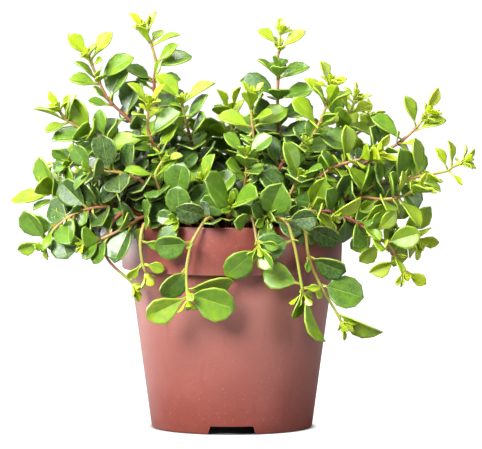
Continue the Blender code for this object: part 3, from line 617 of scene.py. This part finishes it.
def smooth_run(run):
    """Points every few millimetres along a smooth curve through the run, each with the stalk's
    radius and whether the stem has a knot there."""
    ends = [2 * run[0] - run[1], *run, 2 * run[-1] - run[-2]]
    fine = []
    for a, b, c, d in zip(ends, ends[1:], ends[2:], ends[3:]):
        ab, bc, cd = (b - a).length ** 0.5, (c - b).length ** 0.5, (d - c).length ** 0.5
        out = (b - a) / ab - (c - a) / (ab + bc) + (c - b) / bc
        into = (c - b) / bc - (d - b) / (bc + cd) + (d - c) / cd
        steps = max(1, round((c - b).length / stalk_step))
        for step in range(steps):
            t = step / steps
            place = (
                (2 * t**3 - 3 * t**2 + 1) * b + (t**3 - 2 * t**2 + t) * bc * out
                + (3 * t**2 - 2 * t**3) * c + (t**3 - t**2) * bc * into
            )
            fine.append((place, step == 0))
    fine.append((run[-1], False))
    taper = (stem_tip_radius - stem_base_radius) / (len(fine) - 1)
    return [(place, stem_base_radius + i * taper, knot) for i, (place, knot) in enumerate(fine)]


def turn_between(before, after):
    """The turn that takes one direction to another."""
    return before.rotation_difference(after).to_matrix().to_4x4()


def draw_stalk(bm, fine, marks, greenness):
    """A round stalk drawn out ring by ring, a little thicker at its knots, with a closed end. The
    marks hold how far along it a point is and how green the stem is."""
    place, radius = fine[0][0], fine[0][1]
    axis = (fine[1][0] - place).normalized()
    foot = Matrix.Translation(place) @ turn_between(Vector((0, 0, 1)), axis)
    circle = bmesh.ops.create_circle(
        bm, cap_ends=True, segments=stalk_sides, radius=radius, matrix=foot
    )["verts"]
    for vert in circle:
        vert[marks] = (0, 0.5, 0, greenness)
    edges = once_each(e for vert in circle for e in vert.link_edges)
    for i, (centre, wanted, knot) in enumerate(fine[1:], 1):
        ahead = fine[min(i + 1, len(fine) - 1)][0] - fine[i - 1][0]
        ahead.normalize()
        width = wanted * (stalk_swelling if knot else 1)
        made = bmesh.ops.extrude_edge_only(bm, edges=edges)["geom"]
        verts = [g for g in made if isinstance(g, bmesh.types.BMVert)]
        edges = [g for g in made if isinstance(g, bmesh.types.BMEdge)]
        shift = (
            Matrix.Translation(centre) @ turn_between(axis, ahead) @ Matrix.Scale(width / radius, 4)
            @ Matrix.Translation(-place)
        )
        bmesh.ops.transform(bm, matrix=shift, verts=verts)
        for vert in verts:
            vert[marks] = (i / (len(fine) - 1), 0.5, 0, greenness)
        place, radius, axis = centre, width, ahead
    end = bmesh.ops.contextual_create(bm, geom=edges)["faces"]
    tip = bmesh.ops.poke(bm, faces=end)["verts"]
    for vert in tip:
        vert.co += axis * radius
        vert[marks] = (1, 0.5, 0, greenness)


def outline(share, roundness, shoulder):
    """The half width of a leaf at this share of its blade, from 0 at both ends to 1. It is widest
    in the middle or, with a greater shoulder, nearer to the tip."""
    fullness = 0.88 - 0.44 * roundness
    return max(0, math.sin(math.pi * share ** (1 + 0.4 * shoulder))) ** fullness


def draw_blade(bm, leaf, marks):
    """One fleshy leaf on its stalk: a grid shaped to an oval, folded, curled and given its
    thickness. A broad and older leaf is rounder at both ends. The marks hold how far out a point
    is along the leaf and across it, and the leaf's age and chance."""
    length, half_width = leaf["length"], leaf["half_width"]
    ahead, top = leaf["ahead"], leaf["top"]
    side = top.cross(ahead)
    stalk = min(0.24, petiole_length / length)
    breadth = min(1, max(0, (half_width / length - 0.24) / 0.1))
    roundness = breadth * min(1, 0.1 + 1.35 * leaf["age"])
    grid = bmesh.ops.create_grid(bm, x_segments=blade_rows, y_segments=blade_columns, size=1)["verts"]
    for vert in grid:
        row = round((vert.co.x + 1) / 2 * blade_rows)
        column = round(2 * vert.co.y)
        across = (-1, -leaf_edge, 0, leaf_edge, 1)[column + 2]
        share = max(0, row - 1) / (blade_rows - 1)
        share = 0.45 * share + 0.55 * (1 - math.cos(math.pi * share)) / 2
        along = 0 if row == 0 else stalk + (1 - stalk) * share
        twist = leaf["twist"] * share
        wing = side * math.cos(twist) + top * math.sin(twist)
        wide = half_width * outline(share, roundness, leaf["chance"])
        if row < 2 or share < 0.5:
            wide = max(wide, petiole_half_width)
        reach = across * wide
        curl = -leaf["curl"] * length * along**2
        wave = leaf["wave"] * math.sin(5 * along + leaf["chance"] * 9) * across * mm
        lift = leaf["fold"] * abs(reach) + leaf["cup"] * wide * (across**2 - 0.5) * min(1, row / 2)
        lift += curl + wave
        sway = leaf["sway"] * length * along**2
        out = length * along - (petiole_root if row == 0 else 0)
        vert.co = leaf["root"] + ahead * out + wing * reach + side * sway + top * lift
        out_mark = 0 if row == 0 else 0.2 + 0.8 * share
        vert[marks] = (out_mark, (across + 1) / 2, leaf["age"], leaf["chance"])
    faces = once_each(f for vert in grid for f in vert.link_faces)
    bmesh.ops.remove_doubles(bm, verts=grid, dist=0.02 * mm)
    faces = [f for f in faces if f.is_valid]
    for face in faces:
        face.normal_update()
    if middle(f.normal for f in faces).dot(top) < 0:
        bmesh.ops.reverse_faces(bm, faces=faces)
    for edge in {e for f in faces for e in f.edges}:
        if leaf["fold"] > 0.12 and all(abs(v[marks][1] - 0.5) < 0.01 for v in edge.verts):
            edge.smooth = False
    made = bmesh.ops.solidify(bm, geom=faces, thickness=leaf["thickness"])
    return faces + [g for g in made["geom"] if isinstance(g, bmesh.types.BMFace)]


def blade_marks(leaf):
    """A leaf's search tree, middle, reach and points, for telling what meets it."""
    bm = bmesh.new()
    marks = bm.verts.layers.float_color.new("leaf")
    draw_blade(bm, leaf, marks)
    points = [v.co.copy() for v in bm.verts]
    centre = middle(points)
    tree = BVHTree.FromBMesh(bm)
    bm.free()
    return tree, centre, max((p - centre).length for p in points), points


def is_clear(marks, others):
    """Whether a leaf meets none of the others."""
    tree, centre, reach, _ = marks
    for other_tree, other_centre, other_reach, _ in others:
        if (centre - other_centre).length < reach + other_reach and tree.overlap(other_tree):
            return False
    return True


def with_character(leaf, from_tip, bias):
    """Gives a leaf its age, from 0 when young to 1, and what makes it differ from its neighbours.
    Leaves widen and lie flatter as they age."""
    grown = min(1, max(0, (leaf["length"] / mm - bud_length_mm) / growth_mm))
    ripe = min(1, from_tip / ripening_run)
    age = 0.05 + 0.16 * grown + 0.62 * ripe + bias + leaf_draw.uniform(-0.12, 0.12)
    leaf["age"] = min(1, max(0, age))
    if leaf["age"] > 0.5:
        leaf["half_width"] *= 1.1
    widest = (0.215 + 0.32 * min(0.6, leaf["age"])) * leaf["length"]
    leaf["half_width"] = min(leaf["half_width"], widest)
    leaf["twist"] = leaf_draw.uniform(-0.3, 0.3)
    leaf["chance"] = leaf_draw.random()
    leaf["cup"] = leaf_draw.uniform(-0.12, 0.1)
    leaf["wave"] = leaf_draw.uniform(-0.35, 0.35)
    leaf["sway"] = leaf_draw.uniform(-0.05, 0.05)
    leaf["thickness"] = blade_thickness * (0.75 + 0.35 * grown)
    if leaf["fold"] < 0.1:
        leaf["fold"] = leaf_draw.uniform(0.12, 0.42)
    leaf["fold"] += 0.8 * max(0, 0.35 - leaf["age"])
    return leaf


def leaf_towards(root, along, out, length, lean, facing):
    """A leaf from this point of a stem, leaning out by this angle and turned a little to the light,
    which comes from its own side of the plant and from above."""
    ahead = along * math.cos(lean) + out * math.sin(lean)
    ahead.z -= 0.08
    ahead.normalize()
    light = Vector((5 * root.x, -1.1 if root.y < front_until else 1.1, 0.7))
    top = along * math.sin(lean) - out * math.cos(lean) + light * facing
    top = (top - ahead * top.dot(ahead)).normalized()
    grown = min(1, max(0, (length / mm - bud_length_mm) / 10))
    return {
        "root": root, "ahead": ahead, "top": top, "length": length,
        "half_width": length * (0.26 + 0.11 * grown),
        "fold": leaf_draw.uniform(0.1, 0.42), "curl": leaf_draw.uniform(0, 0.22),
    }


def inside_box(marks):
    """Whether a leaf stays within the CAD model's box and out of the pot and the soil."""
    lowest, highest = [Vector(corner) - pot_axis for corner in cad_box]
    for point in marks[3]:
        if any(point[i] < lowest[i] or point[i] > highest[i] for i in range(3)):
            return False
        outward = math.hypot(point.x, point.y)
        if point.z < pot_height + rim_clearance and outward < rim_radius + side_clearance:
            return False
    return True


def in_mass(place):
    """Whether a point lies in the dense middle of the plant."""
    return sum(((place[i] - mass_middle[i]) / mass_reach[i]) ** 2 for i in range(3)) < 1


def across_of(along):
    """Two directions square to a stem and to each other."""
    right = Vector((0, 1, 0)).cross(along)
    if right.length < 0.2:
        right = Vector((1, 0, 0))
    right = (right - along * right.dot(along)).normalized()
    return right, along.cross(right)


def leaf_flesh():
    """Leaf flesh under a waxy skin: yellow-green when young and dark when grown, with a fine pale
    midrib and rim, a silver waxy bloom on the older leaves that is partly a painted sheen, light that
    glows through, and a soft gloss with a thin clear coat over it. The skin's cells are about 0.1 mm
    across on the real leaf and are drawn four times as coarse, so that they show."""
    mottling, wax_sheen_grain, cell = 4.1667 * mm, 1.25 * mm, 0.3846 * mm
    made, shader = finish_named("leaf flesh under waxy skin")
    leaf = add_node(made, "ShaderNodeAttribute", {"attribute_name": "leaf"})
    parts = add_node(made, "ShaderNodeSeparateColor", links={"Color": leaf.outputs["Color"]})
    coords = add_node(made, "ShaderNodeTexCoord").outputs["Object"]
    mottle = add_node(
        made, "ShaderNodeTexNoise", values={"Scale": 1 / mottling, "Detail": 4}, links={"Vector": coords}
    )
    shade = add_node(
        made, "ShaderNodeMapRange",
        values={"From Min": 0.3, "From Max": 0.7, "To Min": -0.09, "To Max": 0.09},
        links={"Value": mottle.outputs["Fac"]},
    )
    age = add_node(
        made, "ShaderNodeMath", {"operation": "ADD", "use_clamp": True},
        links={0: parts.outputs["Blue"], 1: shade.outputs["Result"]},
    )
    flesh = add_node(made, "ShaderNodeValToRGB", links={"Fac": age.outputs["Value"]})
    colour_stops(
        flesh, [(0.0, "#a8b614"), (0.22, "#8aa40a"), (0.45, "#5c8404"), (0.7, "#2a5204"), (1.0, "#113003")]
    )
    # Silver-grey patches on the older leaves: partly a waxy bloom, partly a painted sheen standing in for
    # reflected light.
    grain = add_node(
        made, "ShaderNodeTexNoise", values={"Scale": 1 / wax_sheen_grain, "Detail": 2, "Roughness": 0.5},
        links={"Vector": coords},
    )
    wax_sheen_share = add_node(
        made, "ShaderNodeMapRange",
        values={"From Min": 0.35, "From Max": 0.8, "To Min": 0, "To Max": 0.6},
        links={"Value": grain.outputs["Fac"]},
    )
    aged_wax_sheen = add_node(
        made, "ShaderNodeMath", {"operation": "MULTIPLY"},
        links={0: wax_sheen_share.outputs["Result"], 1: parts.outputs["Blue"]},
    )
    wax_sheen_tone = add_node(
        made, "ShaderNodeMix", {"data_type": "RGBA"}, {"B": linear("#86a25e")},
        {"Factor": aged_wax_sheen.outputs["Value"], "A": flesh.outputs["Color"]},
    )
    from_middle = add_node(
        made, "ShaderNodeMath", {"operation": "SUBTRACT"}, {1: 0.5}, {0: parts.outputs["Green"]}
    )
    beside = add_node(
        made, "ShaderNodeMath", {"operation": "ABSOLUTE"}, links={0: from_middle.outputs["Value"]}
    )
    rib = add_node(
        made, "ShaderNodeMapRange",
        values={"From Min": 0.004, "From Max": 0.02, "To Min": 0.42, "To Max": 0.0},
        links={"Value": beside.outputs["Value"]},
    )
    rim = add_node(
        made, "ShaderNodeMapRange",
        values={"From Min": 0.475, "From Max": 0.498, "To Min": 0.0, "To Max": 0.42},
        links={"Value": beside.outputs["Value"]},
    )
    pale = add_node(
        made, "ShaderNodeMath", {"operation": "MAXIMUM"},
        links={0: rib.outputs["Result"], 1: rim.outputs["Result"]},
    )
    veined = add_node(
        made, "ShaderNodeMix", {"data_type": "RGBA"}, {"B": linear("#b2c840")},
        {"Factor": pale.outputs["Value"], "A": wax_sheen_tone.outputs["Result"]},
    )
    stalk = add_node(
        made, "ShaderNodeMapRange",
        values={"From Min": 0.1, "From Max": 0.24, "To Min": 0.85, "To Max": 0.0},
        links={"Value": parts.outputs["Red"]},
    )
    stalked = add_node(
        made, "ShaderNodeMix", {"data_type": "RGBA"}, {"B": linear("#b0ad45")},
        {"Factor": stalk.outputs["Result"], "A": veined.outputs["Result"]},
    )
    link(made, stalked.outputs["Result"], shader.inputs["Base Color"])
    cells = add_node(
        made, "ShaderNodeTexNoise", values={"Scale": 1 / cell, "Detail": 2}, links={"Vector": coords}
    )
    bump = add_node(
        made, "ShaderNodeBump", values={"Strength": 0.35, "Distance": 0.2 * mm},
        links={"Height": cells.outputs["Fac"]},
    )
    link(made, bump.outputs["Normal"], shader.inputs["Normal"])
    dullness = add_node(
        made, "ShaderNodeMapRange",
        values={"From Min": 0.3, "From Max": 0.7, "To Min": 0.3, "To Max": 0.46},
        links={"Value": mottle.outputs["Fac"]},
    )
    link(made, dullness.outputs["Result"], shader.inputs["Roughness"])
    shader.inputs["IOR"].default_value = 1.45
    shader.inputs["Specular IOR Level"].default_value = 0.65
    shader.inputs["Coat Weight"].default_value = 0.2
    shader.inputs["Coat Roughness"].default_value = 0.32
    shader.inputs["Subsurface Weight"].default_value = 0.14
    shader.inputs["Subsurface Radius"].default_value = (0.7, 1.0, 0.08)
    shader.inputs["Subsurface Scale"].default_value = 1.6 * mm
    return made


def stem_flesh():
    """Stem flesh: pink-brown on the older run and yellow-green at the tip, or green all along on
    some stems, with blotches and a smooth moist skin."""
    blotch_size = 5.263 * mm
    made, shader = finish_named("stem flesh under smooth skin")
    stem = add_node(made, "ShaderNodeAttribute", {"attribute_name": "leaf"})
    parts = add_node(made, "ShaderNodeSeparateColor", links={"Color": stem.outputs["Color"]})
    coords = add_node(made, "ShaderNodeTexCoord").outputs["Object"]
    blotch = add_node(
        made, "ShaderNodeTexNoise", values={"Scale": 1 / blotch_size, "Detail": 4}, links={"Vector": coords}
    )
    shade = add_node(
        made, "ShaderNodeMapRange",
        values={"From Min": 0.3, "From Max": 0.7, "To Min": -0.14, "To Max": 0.14},
        links={"Value": blotch.outputs["Fac"]},
    )
    place = add_node(
        made, "ShaderNodeMath", {"operation": "ADD", "use_clamp": True},
        links={0: parts.outputs["Red"], 1: shade.outputs["Result"]},
    )
    ripe = add_node(made, "ShaderNodeValToRGB", links={"Fac": place.outputs["Value"]})
    colour_stops(ripe, [(0.1, "#6b4634"), (0.45, "#8c4442"), (0.8, "#a05c55"), (1.0, "#97a040")])
    green = add_node(made, "ShaderNodeValToRGB", links={"Fac": place.outputs["Value"]})
    colour_stops(green, [(0.1, "#7f6f3e"), (0.5, "#9c8f42"), (1.0, "#a8bb4a")])
    tone = add_node(
        made, "ShaderNodeMix", {"data_type": "RGBA"}, {},
        {"Factor": stem.outputs["Alpha"], "A": ripe.outputs["Color"], "B": green.outputs["Color"]},
    )
    link(made, tone.outputs["Result"], shader.inputs["Base Color"])
    shader.inputs["Roughness"].default_value = 0.36
    shader.inputs["IOR"].default_value = 1.42
    shader.inputs["Subsurface Weight"].default_value = 0.15
    shader.inputs["Subsurface Radius"].default_value = (1.0, 0.5, 0.2)
    shader.inputs["Subsurface Scale"].default_value = 1.2 * mm
    return made


# How much older or younger each stem's leaves are than their place on the stem makes them. The
# leaves of the older stems have darkened, and those of the youngest are still bright.
stem_ages = {
    "stem_left_silver": 0.34,
    "stem_left_dark": 0.45,
    "stem_left_shoulder": 0.5,
    "stem_crown_middle": 0.12,
    "stem_front_dark": 0.48,
    "stem_front_right_dark": 0.3,
    "stem_front_bright": 0.28,
    "stem_front_middle": 0.3,
    "stem_front_rim_left": 0.42,
    "stem_front_rim_right": 0.45,
    "stem_front_right_rise": 0.3,
    "stem_front_left_yellow": 0.15,
    "stem_left_far": 0.08,
    "stem_front_hanging": 0.3,
    "stem_front_left_hanging": 0.1,
    "stem_right_hanging": 0.06,
    "stem_front_right_hanging": 0.1,
    "stem_front_brown": 0.2,
    "stem_middle_1": 0.2,
    "stem_middle_2": 0.2,
    "stem_crown_front": -0.06,
    "stem_left_low": 0.2,
    "stem_left_pink": 0.15,
    "stem_right_low": -0.12,
    "stem_right_middle": -0.12,
    "stem_right_shoulder": -0.1,
    "stem_right_side": -0.1,
    "stem_right_upper": -0.1,
    "stem_right_high": -0.08,
    "stem_right_back": -0.08,
    "stem_right_far": -0.06,
    "stem_right_tip": -0.08,
}

# The stems that hang over the rim are thinly leafed, with few small leaves besides the larger ones.
trailing = {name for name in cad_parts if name.endswith("hanging")}
trailing |= {"stem_left_rim", "stem_left_thin"}

stem_names = sorted(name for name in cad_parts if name.startswith("stem_"))
shoots = {}
taken = []
for name in stem_names:
    solid = joined_copy(name)
    leaves = [leaf_from(group) for group in blade_groups(solid)]
    run = stem_run(solid, leaves)
    fine = smooth_run(run)
    for leaf in leaves:
        nearest = min(range(len(fine)), key=lambda i: (fine[i][0] - leaf["root"]).length)
        leaf["place"] = nearest
        with_character(leaf, (len(fine) - 1 - nearest) * stalk_step, stem_ages.get(name, 0))
        taken.append(blade_marks(leaf))
    solid.free()
    shoots[name] = (fine, leaves)

# The leaves that the solids leave out, for the oldest stems first: more of the older ones inside
# the plant, more round the whorls, small ones in the plant's mass, some that hang under its sides,
# and a bud at each tip. Apart from the buds, one that meets another leaf is turned and shortened
# until it doesn't, or is left out.
for name in sorted(stem_names, key=lambda name: -stem_ages.get(name, 0)):
    fine, leaves = shoots[name]
    last = len(fine) - 1
    cad_leaves = list(leaves)
    places = sorted({leaf["place"] for leaf in cad_leaves})
    lowest_place = places[0] if places else last
    wanted = []
    step = max(2, round(inner_whorl_step / stalk_step))
    for place in range(last - 3, 3, -step):
        if place > lowest_place - step and (name in trailing or not in_mass(fine[place][0])):
            continue
        along = (fine[place + 1][0] - fine[place - 1][0]).normalized()
        right, back = across_of(along)
        for _ in range(inner_whorl_leaves):
            angle = leaf_draw.uniform(0, math.tau)
            out = right * math.cos(angle) + back * math.sin(angle)
            length = leaf_draw.uniform(*inner_leaf_mm) * mm
            wanted.append((place, along, out, length, leaf_draw.uniform(*inner_leaf_lean)))
    for place in places:
        here = [leaf for leaf in cad_leaves if leaf["place"] == place]
        along = (fine[min(place + 1, last)][0] - fine[max(place - 1, 0)][0]).normalized()
        first = here[0]["ahead"] - along * here[0]["ahead"].dot(along)
        first.normalize()
        length = sum(leaf["length"] for leaf in here) / len(here)
        for quarter in (1, 3, 2):
            angle = quarter * math.pi / 2 + leaf_draw.uniform(-whorl_leaf_swing, whorl_leaf_swing)
            out = first * math.cos(angle) + along.cross(first) * math.sin(angle)
            share = leaf_draw.uniform(*(trailing_leaf_share if name in trailing else whorl_leaf_share))
            wanted.append((place, along, out, length * share, leaf_draw.uniform(*whorl_leaf_lean)))
    for place in range(last - 2, 3, -2):
        if name in trailing or not in_mass(fine[place][0]):
            continue
        along = (fine[place + 1][0] - fine[place - 1][0]).normalized()
        right, back = across_of(along)
        at_side = abs(fine[place][0].x) > hanging_from and fine[place][0].y < hanging_front_until
        if at_side and leaf_draw.random() < under_leaf_chance:
            down = Vector((leaf_draw.uniform(-0.7, 0.7), leaf_draw.uniform(-1, 0.2), -1))
            down = (down - along * down.dot(along)).normalized()
            length = leaf_draw.uniform(*under_leaf_mm) * mm
            wanted.append((place, along, down, length, leaf_draw.uniform(*under_leaf_lean)))
        for _ in range(fill_leaves):
            angle = leaf_draw.uniform(0, math.tau)
            out = right * math.cos(angle) + back * math.sin(angle)
            length = leaf_draw.uniform(*fill_leaf_mm) * mm
            wanted.append((place, along, out, length, leaf_draw.uniform(*fill_leaf_lean)))
    for place, along, out, length, lean in wanted:
        root = fine[place][0] + out * fine[place][1] * 0.8
        if root.z < pot_height - 2 * mm and math.hypot(root.x, root.y) < rim_radius:
            continue
        for attempt in range(tries):
            swing = Matrix.Rotation(leaf_draw.uniform(-swing_a_try, swing_a_try) * attempt, 3, along)
            leaf = leaf_towards(
                root, along, swing @ out, length * (1 - shrink_a_try * attempt),
                math.radians(lean + leaf_draw.uniform(-lean_a_try, lean_a_try) * attempt),
                leaf_draw.uniform(*facing_light),
            )
            with_character(leaf, (last - place) * stalk_step, stem_ages.get(name, 0))
            marks = blade_marks(leaf)
            if inside_box(marks) and is_clear(marks, taken):
                taken.append(marks)
                leaves.append(leaf)
                break
    along = (fine[last][0] - fine[last - 1][0]).normalized()
    right, back = across_of(along)
    turn = leaf_draw.uniform(0, math.tau)
    for i in range(bud_count):
        angle = turn + i * bud_turn
        out = right * math.cos(angle) + back * math.sin(angle)
        length = leaf_draw.uniform(*bud_mm) * mm * (1 + bud_growth * i)
        bud = leaf_towards(
            fine[last][0] + out * bud_radius, along, out, length,
            math.radians(bud_lean + bud_lean_step * i), bud_facing_light,
        )
        with_character(bud, 0, 0)
        bud["age"] = leaf_draw.uniform(0, 0.2) + 0.6 * max(0, stem_ages.get(name, 0))
        leaves.append(bud)

leaf_finish, stem_finish = leaf_flesh(), stem_flesh()
for name in stem_names:
    fine, leaves = shoots[name]
    shoot = bmesh.new()
    marks = shoot.verts.layers.float_color.new("leaf")
    draw_stalk(shoot, fine, marks, leaf_draw.random() ** green_rarity)
    for face in shoot.faces:
        face.material_index = 1
    for leaf in leaves:
        for face in draw_blade(shoot, leaf, marks):
            face.material_index = 0
    for face in shoot.faces:
        face.smooth = True
    add_piece(name.replace("stem_", "shoot_"), shoot, [leaf_finish, stem_finish], "leafy_stem", name)

# Studio. A plain white sweep under four round soft boxes: a strong one in front on the left, one
# behind on the left that edges the leaves, one overhead and a weak one in front on the right. The
# surround is brighter behind the plant, and it whitens the edges of whatever is glossy.
floor_reach = 12
camera_distance = 3.0
camera_rise = math.radians(4.2)
frame_width, frame_height = 482, 449
metres_a_pixel = 0.54 * mm
axis_column = 231.8
foot_row = 427.2
floor_lift = 1.0
shadow_from = 1 * mm
shadow_until = 3 * mm
near_glow = 0.16
far_glow = 0.5

floor_mesh = bmesh.new()
bmesh.ops.create_grid(floor_mesh, x_segments=1, y_segments=1, size=floor_reach)
floor_data = bpy.data.meshes.new("floor")
floor_mesh.to_mesh(floor_data)
floor_mesh.free()
floor = bpy.data.objects.new("floor", floor_data)
bpy.context.scene.collection.objects.link(floor)
# The camera sees the paper as white, except for the shadow close round the pot's foot.
sweep, sweep_shader = finish_named("white paper sweep")
sweep_shader.inputs["Base Color"].default_value = linear("#7c7c7c")
sweep_shader.inputs["Roughness"].default_value = 0.9
sweep_shader.inputs["Specular IOR Level"].default_value = 0.1
sweep_shader.inputs["Emission Color"].default_value = linear("#ffffff")
seen = add_node(sweep, "ShaderNodeLightPath").outputs["Is Camera Ray"]
spot = add_node(sweep, "ShaderNodeTexCoord").outputs["Object"]
centred = add_node(sweep, "ShaderNodeVectorMath", {"operation": "DISTANCE"}, {1: pot_axis}, {0: spot})
beyond_foot = {"From Min": foot_radius - shadow_from, "From Max": foot_radius + shadow_until}
clear = add_node(
    sweep, "ShaderNodeMapRange", values={**beyond_foot, "To Min": 0, "To Max": floor_lift},
    links={"Value": centred.outputs["Value"]},
)
lift = add_node(sweep, "ShaderNodeMath", {"operation": "MULTIPLY"}, {}, {0: seen, 1: clear.outputs["Result"]})
link(sweep, lift.outputs["Value"], sweep_shader.inputs["Emission Strength"])
floor_data.materials.append(sweep)

world = bpy.data.worlds.new("studio")
world.use_nodes = True
surround = world.node_tree.nodes["Background"]
surround.inputs["Color"].default_value = linear("#ffffff")
facing = add_node(world, "ShaderNodeTexCoord").outputs["Generated"]
depth = add_node(world, "ShaderNodeSeparateXYZ", links={"Vector": facing})
glow = add_node(
    world, "ShaderNodeMapRange",
    values={"From Min": -0.7, "From Max": 0.7, "To Min": near_glow, "To Max": far_glow},
    links={"Value": depth.outputs["Y"]},
)
shown = add_node(world, "ShaderNodeLightPath").outputs["Is Camera Ray"]
strength = add_node(
    world, "ShaderNodeMix", {"data_type": "FLOAT"}, {"B": 1.0},
    {"Factor": shown, "A": glow.outputs["Result"]},
)
link(world, strength.outputs["Result"], surround.inputs["Strength"])
bpy.context.scene.world = world


def soft_box(name, place, aim, size, watts):
    """A round soft box that faces the plant."""
    light = bpy.data.lights.new(name, "AREA")
    light.shape = "DISK"
    light.size = size
    light.energy = watts
    made = bpy.data.objects.new(name, light)
    made.location = place
    made.rotation_euler = (Vector(aim) - Vector(place)).to_track_quat("-Z", "Y").to_euler()
    bpy.context.scene.collection.objects.link(made)


soft_box("key", (-0.8, -1.05, 0.9), (0, 0, 0.12), 0.8, 58)
soft_box("side", (-1.1, 1.0, 0.3), (0, 0, 0.1), 0.8, 32)
soft_box("fill", (1.1, -1.0, 0.3), (0, 0, 0.08), 0.7, 8)
soft_box("top", (-0.1, -0.2, 1.6), (0, 0, 0.1), 0.6, 24)

middle_column = (frame_width / 2 - axis_column) * metres_a_pixel
middle_height = (foot_row - frame_height / 2) * metres_a_pixel
aim = pot_axis + Vector((middle_column, 0, middle_height))
camera_data = bpy.data.cameras.new("camera")
camera_data.sensor_fit = "HORIZONTAL"
camera_data.angle = 2 * math.atan(frame_width * metres_a_pixel / 2 / camera_distance)
camera = bpy.data.objects.new("camera", camera_data)
camera.location = aim + camera_distance * Vector((0, -math.cos(camera_rise), math.sin(camera_rise)))
camera.rotation_euler = (aim - camera.location).to_track_quat("-Z", "Y").to_euler()
bpy.context.scene.collection.objects.link(camera)
bpy.context.scene.camera = camera
bpy.context.scene.view_settings.view_transform = "Standard"
